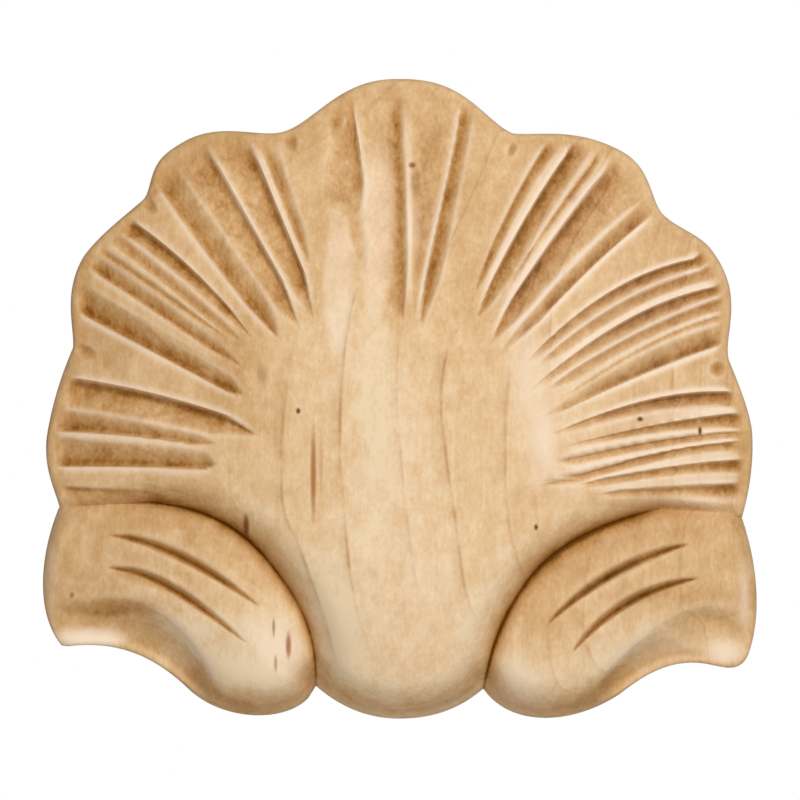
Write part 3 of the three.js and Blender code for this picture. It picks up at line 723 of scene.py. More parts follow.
    def height(self, x: np.ndarray, z: np.ndarray) -> np.ndarray:
        """Gives the carved face's height above the back.

        Args:
            x: Places to the right, in millimetres.
            z: Places up, in millimetres.

        Returns:
            The heights in millimetres.
        """
        size = self.sizes
        angle, radius = polar(x, z)
        out = np.abs(x) / UNIT
        fan, stem = self.in_fan(angle), self.in_stem(angle)
        to_foot = line_distance(self.lower_outline, x, z)[0]
        dome = self.dome_height(x, z)
        seam_depth = size.seam_depth * mix(0.5, 1, smooth(*size.seam_deep_span, out))
        body = np.zeros(x.shape)
        on_leaf = ~fan & ~stem & (radius > self.by_side(angle, self.seam_rays) + 1e-6)
        for leaf in LEAVES:
            here = (angle < 0) if leaf.side is Side.LEFT else (angle >= 0)
            to_seam = line_distance(leaf.seam, x, z)[0]
            surface = self.leaf_height(leaf, x, z)
            reach = mix(*size.seam_roll, smooth(*size.seam_roll_span, out))
            rolled = dome - np.maximum(dome - surface + seam_depth, 0) * falloff(to_seam, reach)
            leafy = surface - seam_depth * np.clip(1 - to_seam / size.seam_round, 0, 1) ** 2.2
            level = np.where(on_leaf, leafy, rolled)
            flutes = self.flute_depth(angle, radius) * smooth(0, size.seam_clearance, to_seam)
            fluted = level - flutes - self.dimple_depth(x, z)
            foot_reach = mix(*size.foot_roll, smooth(*size.foot_roll_span, out))
            foot = mix(size.foot_edge, size.foot_height, smooth(*size.foot_span, out))
            footed = level - np.maximum(level - foot, 0) * falloff(to_foot, foot_reach)
            level = np.where(fan, fluted, footed)
            carved = self.cove_height(leaf, angle, radius, level) - self.cut_depth(leaf, x, z)
            level = np.where(on_leaf, carved, level)
            body = np.where(here, level, body)
        to_edge = np.where(fan, self.rim_radius(angle) - radius, to_foot)
        over = 1 - np.clip(to_edge / size.rim_round, 0, 1)
        return body - 0.8 * size.rim_round * (1 - np.sqrt(1 - over**2))

    @staticmethod
    def hand_wave(x: np.ndarray, z: np.ndarray) -> np.ndarray:
        """Gives the slight unevenness that hand gouges and sanding leave.

        Args:
            x: Places to the right.
            z: Places up.

        Returns:
            Depths from 0 to about 0.1 millimetres.
        """
        wave = np.zeros(x.shape)
        for length, turn, phase in HAND_WAVES:
            wave += np.sin((x * math.cos(turn) + z * math.sin(turn)) * 2 * math.pi / length + phase)
        return 0.05 + 0.012 * wave


# Gaps between the mesh's guide spokes and between its fine ones, in degrees.
SPOKE_GAP = 3.0
LEAF_SPOKE_GAP = 2.2
LEAST_GAP = 0.3
LEAST_STEP = 0.05
FINE_GAP = 0.56
FINE_FAN_GAP = 0.27
# Share of the usual depth up to which a flute has no spokes of its own.
FAINT_FLUTE = 0.4
# Shares of the radius at which the guide rows run, and the rows up to each.
BODY_ROWS = (0.24, 0.46, 0.68, 0.83, 0.92, 0.97, 1.0)
FAN_ROWS = (
    0.12, 0.24, 0.33, 0.4, 0.46, 0.51, 0.555, 0.6, 0.64, 0.675, 0.71, 0.745,
    0.78, 0.815, 0.85, 0.88, 0.905, 0.93, 0.95, 0.968, 0.986, 1.0,
)  # fmt: skip
ROW_STEPS = (2, 2, 3, 4, 4, 4, 4, 6, 6, 5, 5, 5, 5, 5, 5, 4, 4, 4, 4, 4, 4, 4)
# Degrees over which the fan's rows meet the leaf's rows at a notch, and the
# shares of the leaf at which the two V cuts' rows arrive there.
NOTCH_BLEND = 10.0
NOTCH_CUTS = (0.6, 0.76)


@dataclass
class Layout:
    """Where the mesh's lines run, so that ridges and cuts fall on them.

    Args:
        carving: The carved face that it follows.
    """

    carving: Carving

    @staticmethod
    def even(start: float, end: float, gap: float) -> list[Edge]:
        """Spaces straight spokes from start up to end, at most a gap apart."""
        count = math.ceil((end - start) / gap)
        return [(mix(start, end, i / count),) * 3 for i in range(count)]

    def fan_spokes(self) -> list[Edge]:
        """Runs spokes along the flutes' edges and bottoms.

        Returns:
            The spokes from the left notch to the right one.
        """
        edges: list[Edge] = [(FAN_START,) * 3]
        for flute in FLUTES:
            if flute.depth <= FAINT_FLUTE:
                continue
            bottom = [mix(a, b, flute.lean) for a, b in zip(flute.left, flute.right)]
            bottom[0] = min(max(flute.tip_angle, flute.left[0]), flute.right[0])
            for edge in (flute.left, tuple(bottom), flute.right):
                gaps = [a - b for a, b in zip(edge, edges[-1])]
                if max(gaps) >= LEAST_GAP and min(gaps) > LEAST_STEP:
                    edges.append(edge)
        edges.append((FAN_END,) * 3)
        stops = [edges[0]]
        for here, after in zip(edges[:-1], edges[1:]):
            for scallop in SCALLOPS:
                if here[2] + 1 < scallop.end[0] < after[2] - 1:
                    inner, middle = (here[0] + after[0]) / 2, (here[1] + after[1]) / 2
                    stops.append((inner, middle, scallop.end[0]))
            stops.append(after)
        return stops

    def spokes(self) -> np.ndarray:
        """Lists every spoke of the fine mesh.

        Returns:
            One row of three angles for each spoke, once round.
        """
        left, right = LEAVES
        stops = self.even(-180, -left.cleft, SPOKE_GAP)
        stops += self.even(-left.cleft, FAN_START, LEAF_SPOKE_GAP) + self.fan_spokes()
        stops += self.even(FAN_END, right.cleft, LEAF_SPOKE_GAP)[1:]
        stops += self.even(right.cleft, 180, SPOKE_GAP) + [(180.0,) * 3]
        fine: list[np.ndarray] = []
        for here, after in zip(stops[:-1], stops[1:]):
            a, b = np.array(here), np.array(after)
            in_fan = FAN_START <= a[2] < FAN_END
            count = max(1, round((b[2] - a[2]) / (FINE_FAN_GAP if in_fan else FINE_GAP)))
            fine += [mix(a, b, i / count) for i in range(count)]
        return np.array(fine + [np.array(stops[-1])])

    def leaf_rows(self, leaf: Leaf, angle: np.ndarray) -> np.ndarray:
        """Gives the guide rows of a leaf, from the seam to the outline.

        Args:
            leaf: The leaf.
            angle: Angles in degrees.

        Returns:
            One row of radii for each guide.
        """
        carving = self.carving
        seam_rays, rim_rays = carving.seam_rays[leaf.side], carving.outline_rays[leaf.side]
        turn = np.abs(angle)
        seam, rim = seam_rays.at(angle), rim_rays.at(angle)
        guides = []
        for cut, rays, at_notch in zip(leaf.cuts, carving.cut_rays[leaf.side], NOTCH_CUTS):
            start, end = (float(abs(polar(*point)[0])) for point in (cut[0], cut[-1]))
            held = np.clip(turn, start, end) * leaf.side.value
            held_seam, held_rim = seam_rays.at(held), rim_rays.at(held)
            share = (rays.at(held) - held_seam) / (held_rim - held_seam)
            ease = np.where(turn < start, smooth(start, abs(leaf.notch), turn), 0)
            guides.append(mix(seam, rim, mix(share, at_notch, ease)))
        cove_turn = np.clip(turn, leaf.cove_fade[0], leaf.cove_fade[3]) * leaf.side.value
        cove_seam, cove_rim = seam_rays.at(cove_turn), rim_rays.at(cove_turn)
        cove_share = (carving.cove_rays[leaf.side].at(cove_turn) - cove_seam) / (cove_rim - cove_seam)
        latest = (guides[1] - seam) / np.maximum(rim - seam, 1e-6)
        cove = mix(seam, rim, np.maximum(cove_share, mix(latest, 1, 0.25)))
        # Rows follow a V cut's lips and bottom, and draw in where there is less room.
        room = np.minimum(0.3 * (guides[1] - guides[0]), 0.3 * (guides[0] - seam))
        room = np.minimum(room, 0.5 * (cove - guides[1]))
        upper = np.minimum(room, carving.sizes.cut_lean * carving.sizes.cut_width)
        lower = np.minimum(room, (1 - carving.sizes.cut_lean) * carving.sizes.cut_width)
        return np.array([
            mix(seam, guides[0] - upper, 0.25),
            mix(seam, guides[0] - upper, 0.6),
            guides[0] - upper,
            guides[0],
            guides[0] + lower,
            (guides[0] + guides[1]) / 2,
            guides[1] - upper,
            guides[1],
            guides[1] + lower,
            cove,
            mix(cove, rim, 0.25),
            mix(cove, rim, 0.55),
            mix(cove, rim, 0.8),
            np.maximum(rim - 0.35 * carving.sizes.rim_round, mix(cove, rim, 0.9)),
            rim,
        ])  # fmt: skip

    def guide_radii(self, angle: np.ndarray) -> np.ndarray:
        """Gives the guide rows from the hub outward.

        Args:
            angle: One angle for each spoke.

        Returns:
            One row of radii for each guide.
        """
        carving = self.carving
        body = np.array(BODY_ROWS)[:, None]
        stem_radius = carving.stem_rays.at(angle)
        past = np.repeat(stem_radius[None], len(FAN_ROWS) - len(BODY_ROWS), axis=0)
        result = np.vstack([body * stem_radius, past])
        rim = carving.rim_radius(angle)
        for leaf in LEAVES:
            here = (angle < 0) if leaf.side is Side.LEFT else (angle >= 0)
            seam = carving.seam_rays[leaf.side].at(angle)
            leafy = np.vstack([body * seam, self.leaf_rows(leaf, angle)])
            result = np.where(here & ~carving.in_stem(angle), leafy, result)
            notch = np.array([leaf.notch])
            notch_seam = carving.seam_rays[leaf.side].at(notch)
            notch_rim = carving.outline_rays[leaf.side].at(notch)
            at_notch = np.vstack([body * notch_seam, self.leaf_rows(leaf, notch)]) / notch_rim
            nearness = smooth(NOTCH_BLEND, 0, np.abs(angle - leaf.notch))
            fanned = mix(np.array(FAN_ROWS)[:, None], at_notch, nearness) * rim
            result = np.where(here & carving.in_fan(angle), fanned, result)
        return result

    def places(self) -> tuple[np.ndarray, np.ndarray]:
        """Places every vertex of the front in plan.

        Returns:
            The places to the right and up, by row and spoke, in millimetres.
        """
        spokes = self.spokes().T
        rows = [(0, 0.0)]
        rows += [(i, (step + 1) / count) for i, count in enumerate(ROW_STEPS) for step in range(count)]
        xs, zs = [], []
        for guide, share in rows:
            angle = spokes[2]
            for _ in range(3):
                guides = self.guide_radii(angle)
                inner = guides[guide - 1] if guide else np.zeros(angle.shape)
                radius = mix(inner, guides[guide], share)
                # Rounded, so that a spoke on a notch stays in the fan along its whole run.
                angle = np.round(bend(spokes, radius), 9)
            turn = np.radians(angle)
            xs.append(HUB_X + radius * np.sin(turn))
            zs.append(HUB_Z + radius * np.cos(turn))
        return np.array(xs), np.array(zs)


@dataclass
class ReliefMap:
    """How far each place stands above or below what lies round it.

    Args:
        carving: The carved face.
        reach: Half width of the blur, in samples.
        pitch: Distance between samples, in millimetres.
    """

    carving: Carving
    reach: int
    pitch: float = 0.4

    def __post_init__(self) -> None:
        """Samples the carved face and takes its blurred level off it."""
        carving = self.carving
        self.xs = np.arange(-59, 59.1, self.pitch)
        self.zs = np.arange(-53, 53.1, self.pitch)
        x, z = np.meshgrid(self.xs, self.zs)
        height = carving.height(x, z)
        angle, radius = polar(x, z)
        leaf_rim = carving.by_side(angle, carving.outline_rays)
        outer = np.where(carving.in_stem(angle), carving.stem_rays.at(angle), leaf_rim)
        outer = np.where(carving.in_fan(angle), carving.rim_radius(angle), outer)
        inside = (radius < outer - 0.6).astype(float)
        weight = self._blur(inside)
        level = self._blur(height * inside) / np.maximum(weight, 1e-6)
        self.values = np.where(inside > 0, height - level, 0)

    def _blur(self, values: np.ndarray) -> np.ndarray:
        """Blurs a grid of values by a bell curve.

        Args:
            values: The values, by row and column.

        Returns:
            The blurred values, with the grid's edge values held beyond it.
        """
        half = 2 * self.reach
        kernel = np.exp(-0.5 * (np.arange(-half, half + 1) / self.reach) ** 2)
        kernel /= kernel.sum()
        for axis in (0, 1):
            padding = [(half, half) if side == axis else (0, 0) for side in (0, 1)]
            padded = np.pad(values, padding, mode="edge")
            places = np.arange(values.shape[axis])
            values = sum(part * np.take(padded, places + i, axis=axis) for i, part in enumerate(kernel))
        return values

    def at(self, x: np.ndarray, z: np.ndarray) -> np.ndarray:
        """Reads the map.

        Args:
            x: Places to the right.
            z: Places up.

        Returns:
            Millimetres above the level round each place.
        """
        column = np.clip((x - self.xs[0]) / self.pitch, 0, len(self.xs) - 1.001)
        row = np.clip((z - self.zs[0]) / self.pitch, 0, len(self.zs) - 1.001)
        i, j = row.astype(int), column.astype(int)
        top = mix(self.values[i, j], self.values[i, j + 1], column - j)
        bottom = mix(self.values[i + 1, j], self.values[i + 1, j + 1], column - j)
        return mix(top, bottom, row - i)


@dataclass(frozen=True)
class Patch:
    """A place where the wood is browner, paler or worn brighter than round it, or where shade or a
    highlight is painted.

    Args:
        at: Centre in millimetres, right and up.
        size: Half width and half height in millimetres.
        amount: How strongly it shows; below 0 is paler.
        firm: How sharply it ends; 1 is softest.
    """

    at: Pair
    size: Pair
    amount: float
    firm: float = 1.0

    def share(self, x: np.ndarray, z: np.ndarray) -> np.ndarray:
        """Gives how strongly the patch shows at each place, easing to 0 outside it."""
        away = ((x - self.at[0]) / self.size[0]) ** 2 + ((z - self.at[1]) / self.size[1]) ** 2
        return self.amount * np.exp(-(away**self.firm))


# Where the wood is browner or paler, and where shade or highlights are painted as darker or paler colour.
TONE_SHADE_AND_HIGHLIGHT_PLACES = (
    Patch((-3.2, -12.0), (6.5, 30.0), -0.2),
    Patch((-3.4, 28.0), (2.8, 13.5), -0.16, 3),
    Patch((-9.6, 18.0), (2.4, 11.0), -0.16, 3),
    Patch((0.2, 29.0), (0.8, 8.0), 0.2),
    Patch((0.1, 43.5), (1.1, 4.5), 0.3),
    Patch((-4.5, 40.0), (3.6, 1.4), 0.12),
    Patch((20.0, 0.0), (6.0, 11.0), -0.14),
    Patch((9.0, 36.0), (7.0, 9.0), 0.08),
    Patch((-25.0, -1.0), (6.5, 14.0), 0.17),
    # Painted highlight on the left ball.
    Patch((-18.4, -40.0), (5.0, 6.5), -0.34),
    Patch((-24.0, -35.0), (7.0, 5.0), -0.12),
    Patch((20.0, -44.0), (6.5, 5.0), -0.3),
    # Painted highlight on the left tail's facet, which faces the light.
    Patch((-49.0, -38.0), (5.5, 1.8), -0.5),
    Patch((51.5, -40.0), (4.0, 3.0), -0.3),
    # Painted shade below the left cove's ridge, where the face turns down.
    Patch((-45.5, -33.4), (7.5, 1.6), 0.34, 2),
    Patch((-36.0, -37.0), (5.5, 3.6), -0.3),
    Patch((46.0, -31.6), (7.0, 1.3), 0.2),
    # Paler, to offset the painted hollow shade in the right cove.
    Patch((41.5, -38.0), (8.5, 3.6), -0.24),
    Patch((-40.0, -19.5), (6.0, 1.6), 0.14),
    Patch((-26.0, 30.0), (8.0, 9.0), -0.06),
    Patch((29.0, 33.0), (5.0, 6.0), 0.12),
    Patch((-0.4, 14.6), (2.2, 3.2), 0.26, 2),
    Patch((43.5, -21.0), (8.0, 3.4), 0.1),
    Patch((-34.5, -41.0), (5.0, 3.0), -0.34),
    Patch((-27.0, -43.5), (6.0, 3.5), -0.34),
    Patch((34.5, -42.5), (6.0, 3.0), -0.28),
    Patch((-10.5, -36.0), (3.0, 7.0), -0.2),
    Patch((-40.0, 14.0), (14.0, 18.0), 0.05),
)

# Where handling and sanding left it bright, and where highlights are painted: on the left ball, the left
# tail's facet, the right fan's ridges and the body's lip above the right seam.
WORN_AND_HIGHLIGHT_PLACES = (
    # Painted highlights on the left ball.
    Patch((-18.6, -40.2), (4.2, 6.0), 0.6),
    Patch((-23.5, -37.5), (4.0, 3.5), 0.35),
    # Painted highlight on the left tail's facet.
    Patch((-49.6, -38.3), (5.6, 1.5), 1.0, 2),
    Patch((52.4, -40.6), (3.0, 2.0), 0.8, 2),
    Patch((42.0, -39.5), (8.0, 2.6), 0.3),
    Patch((55.4, -32.0), (0.9, 5.0), 0.6),
    Patch((19.2, -45.5), (4.0, 5.0), 0.4),
    # Painted highlights at the inner ends of the right fan's ridges.
    Patch((23.0, -6.5), (2.4, 7.0), 0.7),
    Patch((20.5, 5.0), (2.6, 5.5), 0.6),
    Patch((33.0, 6.0), (17.0, 26.0), 0.12),
    # Painted highlight on the body's lip above the right seam.
    Patch((47.0, -16.4), (6.5, 0.8), 0.9),
    Patch((-3.4, 28.0), (2.8, 13.5), 0.35, 3),
    Patch((-9.6, 18.0), (2.4, 11.0), 0.4, 3),
    Patch((2.6, 27.5), (1.1, 5.0), 0.3, 2),
    Patch((3.0, -30.0), (9.0, 14.0), 0.15),
    Patch((-55.6, -28.0), (1.0, 7.0), 0.3),
    Patch((-53.0, -17.2), (1.6, 1.6), 0.35),
)


@dataclass
class ToneAndPaintedLight:
    """How brown and how polished each place of the carved face is, with painted shade and painted
    highlights.

    Browning is 0 for pale sanded wood and 1 for dark brown; it holds the
    wood's own tone and painted shade together. A pair holds the amount on
    the left and on the right.

    Args:
        carving: The carved face.
        body: Browning of the fan's middle and the stem.
        leaves: Browning of the leaves.
        fan_rim_tone_and_shade: Browning added towards the fan's rim; its larger left value is painted
            shade of light that comes from the right.
        gouged: Browning added in a flute.
        dimpled: Browning added for each millimetre of a dimple's depth.
        recess_shade: Painted shade: browning for each millimetre below what lies close round.
        recess_shade_depth: Depth past which that painted shade is no browner, in millimetres.
        hollow_shade: Painted shade: browning for each millimetre below what lies broadly round.
        seam_shade_line: Painted shade: a dark line in the bottom of an open seam.
        seam_width: Half width of that line, in millimetres.
        seam_body_shade: Painted shade on the body beside an open seam.
        seam_leaf_shade: Painted shade on a leaf beside an open seam.
        seam_low_shade: Painted shade on a leaf beside the seam's lower part.
        seam_fade: How far it fades from the seam, in millimetres.
        cut_walls: Browning of a V cut's walls.
        cut_floor_shade: Painted shade added in its bottom.
        ridge_wear_and_highlight: Polish and painted highlight of the ridges between flutes.
        leaf_wear_and_highlight: Polish and painted highlight of the leaves' ridges.
    """

    carving: Carving
    body: float = 0.27
    leaves: float = 0.46
    fan_rim_tone_and_shade: Pair = (0.2, 0.13)
    gouged: Pair = (0.12, 0.2)
    dimpled: float = 0.12
    recess_shade: Pair = (0.56, 0.8)
    recess_shade_depth: float = 0.35
    hollow_shade: float = 0.16
    seam_shade_line: Pair = (0.44, 0.6)
    seam_width: float = 0.22
    seam_body_shade: Pair = (0.4, 0.28)
    seam_leaf_shade: Pair = (0.06, 0.26)
    seam_low_shade: float = 0.06
    seam_fade: float = 3.6
    cut_walls: float = 0.22
    cut_floor_shade: float = 0.1
    ridge_wear_and_highlight: Pair = (0.65, 1.5)
    leaf_wear_and_highlight: float = 0.25

    def __post_init__(self) -> None:
        """Measures the carving at two scales."""
        self.fine = ReliefMap(self.carving, reach=2)
        self.broad = ReliefMap(self.carving, reach=9)

    @staticmethod
    def to_seam(x: np.ndarray, z: np.ndarray) -> np.ndarray:
        """Gives the distance to the nearer seam in millimetres."""
        return np.minimum(*(line_distance(leaf.seam, x, z)[0] for leaf in LEAVES))

    def to_edge(self, x: np.ndarray, z: np.ndarray) -> np.ndarray:
        """Gives the distance to the outline.

        Args:
            x: Places to the right.
            z: Places up.

        Returns:
            The distances in millimetres, along the radius in the fan.
        """
        angle, radius = polar(x, z)
        to_rim = self.carving.rim_radius(angle) - radius
        to_foot = line_distance(self.carving.lower_outline, x, z)[0]
        return np.where(self.carving.in_fan(angle), to_rim, to_foot)

    def seam_shade(self, x: np.ndarray, z: np.ndarray, on_leaf: np.ndarray) -> np.ndarray:
        """Gives the painted shade in the seams and beside them.

        Args:
            x: Places to the right.
            z: Places up.
            on_leaf: True on a leaf.

        Returns:
            The painted shade, strong where a seam is open and faint at its outer end.
        """
        distance = self.to_seam(x, z)
        open_share = self.open_share(x)
        # Painted shade: a dark line in the bottom of an open seam, and a band beside it, set heavier on
        # one side than the other as the light falls.
        line = sided(self.seam_shade_line, x) * np.exp(-((distance / self.seam_width) ** 2))
        high = smooth(-32, -20, z)
        beside_leaf = mix(self.seam_low_shade, sided(self.seam_leaf_shade, x), high)
        beside = np.where(on_leaf, beside_leaf, sided(self.seam_body_shade, x) * high)
        opened = line + beside * np.exp(-distance / self.seam_fade)
        return open_share * opened + (1 - open_share) * 0.04 * np.exp(-distance / 2.0)

    @staticmethod
    def open_share(x: np.ndarray) -> np.ndarray:
        """Gives how open the seam is, from 0 at its outer end to 1."""
        return smooth(40, 30, np.abs(x) / UNIT)

    def carved_browning_and_shade(self, x: np.ndarray, z: np.ndarray) -> np.ndarray:
        """Gives the browning of the V cuts, the flutes and the dimples, with painted shade in a cut's
        bottom.

        Args:
            x: Places to the right.
            z: Places up.

        Returns:
            The browning, 0 where nothing is cut.
        """
        carving = self.carving
        angle, radius = polar(x, z)
        left, right = (carving.cut_depth(leaf, x, z) for leaf in LEAVES)
        cut_share = np.clip(np.where(x < 0, left, right) / carving.sizes.cut_depth, 0, 1)
        # The cut's walls are browner, and painted shade darkens its bottom.
        cuts = self.cut_walls * smooth(0, 0.3, cut_share) + self.cut_floor_shade * cut_share**3
        flutes = np.where(carving.in_fan(angle), carving.flute_depth(angle, radius), 0)
        gouged = mix(*self.gouged, smooth(-40, 20, angle)) * np.clip(flutes / 0.7, 0, 1)
        return cuts + gouged + self.dimpled * np.clip(carving.dimple_depth(x, z), 0, 1)

    def browning_and_shade(self, x: np.ndarray, z: np.ndarray) -> np.ndarray:
        """Gives the browning of each place, painted shade included.

        Args:
            x: Places to the right.
            z: Places up.

        Returns:
            0 for pale sanded wood, 1 for dark brown.
        """
        carving = self.carving
        angle, radius = polar(x, z)
        fan, stem = carving.in_fan(angle), carving.in_stem(angle)
        on_leaf = ~fan & ~stem & (radius > carving.by_side(angle, carving.seam_rays))
        # Browner towards the rim; the left side's extra is painted shade, as the light comes from the
        # right.
        fan_rim_tone_and_shade = smooth(20, 33, radius / UNIT) * mix(*self.fan_rim_tone_and_shade, smooth(-20, 20, angle))
        brown_and_shade = np.where(on_leaf, self.leaves, self.body + np.where(fan, fan_rim_tone_and_shade, 0))
        brown_and_shade = brown_and_shade + sum(patch.share(x, z) for patch in TONE_SHADE_AND_HIGHLIGHT_PLACES)
        closed_seam = (1 - self.open_share(x)) * np.exp(-((self.to_seam(x, z) / 1.6) ** 2))
        shade_mask = smooth(0.4, 2.2, self.to_edge(x, z)) * (1 - closed_seam)
        recess_shade = mix(*self.recess_shade, smooth(-25, 20, angle))
        # Painted shade: browner where the face lies below what is close round it and what is broadly
        # round it.
        brown_and_shade += np.clip(-recess_shade * self.fine.at(x, z), -0.05, self.recess_shade_depth * recess_shade) * shade_mask
        brown_and_shade += np.clip(-self.hollow_shade * self.broad.at(x, z), -0.1, 0.22) * shade_mask
        return brown_and_shade + self.seam_shade(x, z, on_leaf) + self.carved_browning_and_shade(x, z)

    def polish_and_highlight(self, x: np.ndarray, z: np.ndarray) -> np.ndarray:
        """Gives how bright each place is worn, with its painted highlights.

        Args:
            x: Places to the right.
            z: Places up.

        Returns:
            Shares from 0 to 1: ridges between flutes and lips of cuts.
        """
        angle = polar(x, z)[0]
        to_seam = self.to_seam(x, z)
        wear_and_highlight = mix(*self.ridge_wear_and_highlight, smooth(-30, 45, angle))
        wear_and_highlight = np.where(self.carving.in_fan(angle), wear_and_highlight, self.leaf_wear_and_highlight)
        # Painted highlights on ridges that stand above what is close round them, together with the
        # paleness of wear.
        crest = np.clip((self.fine.at(x, z) - 0.05) / 0.28, 0, 1) * wear_and_highlight
        clear = smooth(2.5, 5, to_seam) * smooth(0.8, 2.4, self.to_edge(x, z)) * smooth(-46, -40, z)
        worn_and_lit = sum(place.share(x, z) for place in WORN_AND_HIGHLIGHT_PLACES) * smooth(0.2, 2.2, to_seam)
        return np.clip(crest * clear + worn_and_lit, 0, 1)


def add_node(
    tree: Tree,
    kind: str,
    links: dict[int | str, Socket] | None = None,
    values: dict[int | str, object] | None = None,
    **settings: object,
) -> bpy.types.Node:
    """Adds a shader node with its settings, values and links.

    Args:
        tree: The node tree.
        kind: Node type, without the ShaderNode prefix.
        links: Sockets that feed its inputs.
        values: Values of its inputs.
        **settings: Properties of the node.

    Returns:
        The node.
    """
    node = tree.nodes.new("ShaderNode" + kind)
    for name, setting in settings.items():
        setattr(node, name, setting)
    for key, value in (values or {}).items():
        node.inputs[key].default_value = value
    for key, socket in (links or {}).items():
        tree.links.new(socket, node.inputs[key])
    return node


def grey_stops(levels: tuple[Pair, ...], most: float = 1.0) -> tuple[tuple[float, Colour], ...]:
    """Turns positions and levels into a ramp's grey stops, with level 1 at the most."""
    return tuple((position, (level * most,) * 3 + (1.0,)) for position, level in levels)


def set_stops(ramp: bpy.types.ColorRamp, stops: tuple[tuple[float, Colour], ...]) -> None:
    """Gives a new colour ramp its stops.

    Args:
        ramp: The ramp, with the two stops that it starts with.
        stops: Positions and linear colours, from first to last.
    """
    for element, (position, colour) in zip(ramp.elements, (stops[0], stops[-1])):
        element.position, element.color = position, colour
    for position, colour in stops[1:-1]:
        ramp.elements.new(position).color = colour


@dataclass(frozen=True)
class Grain:
    """One scale at which the wood's tone varies.

    Args:
        size: Size of its features in millimetres, to the right, in depth and up.
        detail: Number of finer scales in it.
        amount: Browning from its palest to its darkest places.
        when_torn: True if it shows in full only where the wood is torn.
    """

    size: tuple[float, float, float]
    detail: float
    amount: float = 0.0
    when_torn: bool = False


# Position and level across a ring, across a growth line and along it.
RING_PROFILE = ((0.0, 0.0), (0.6, 0.04), (0.86, 0.15), (0.95, 1.0), (1.0, 0.0))
LINE_PROFILE = ((0.0, 0.0), (0.5, 0.2), (0.66, 0.45), (0.74, 1.0), (0.79, 1.0), (0.9, 0.0))
LINE_ENDS = ((0.0, 0.0), (0.12, 1.0), (0.85, 1.0), (1.0, 0.0))
# How far a growth line reaches to its left and to its right, in millimetres.
LINE_SOFT_SIDE = 2.4
LINE_SHARP_SIDE = 0.8
# Where a spot ends and where it is fully dark, as shares of its size.
SPOT_END = 1.2
SPOT_CORE = 0.3


@dataclass(frozen=True)
class Spot:
    """A small mark in the wood.

    Args:
        at: Place in millimetres, right and up.
        size: Half width and half height in millimetres.
        strength: How dark it is.
        colour: Its sRGB hex colour.
    """

    at: Pair
    size: Pair
    strength: float
    colour: str = "7A4820"


@dataclass(frozen=True)
class GrowthLine:
    """One growth ring where it comes to the surface.

    Args:
        points: Places in millimetres from top to bottom, right and up.
        strength: How dark it is.
    """

    points: tuple[Pair, ...]
    strength: float


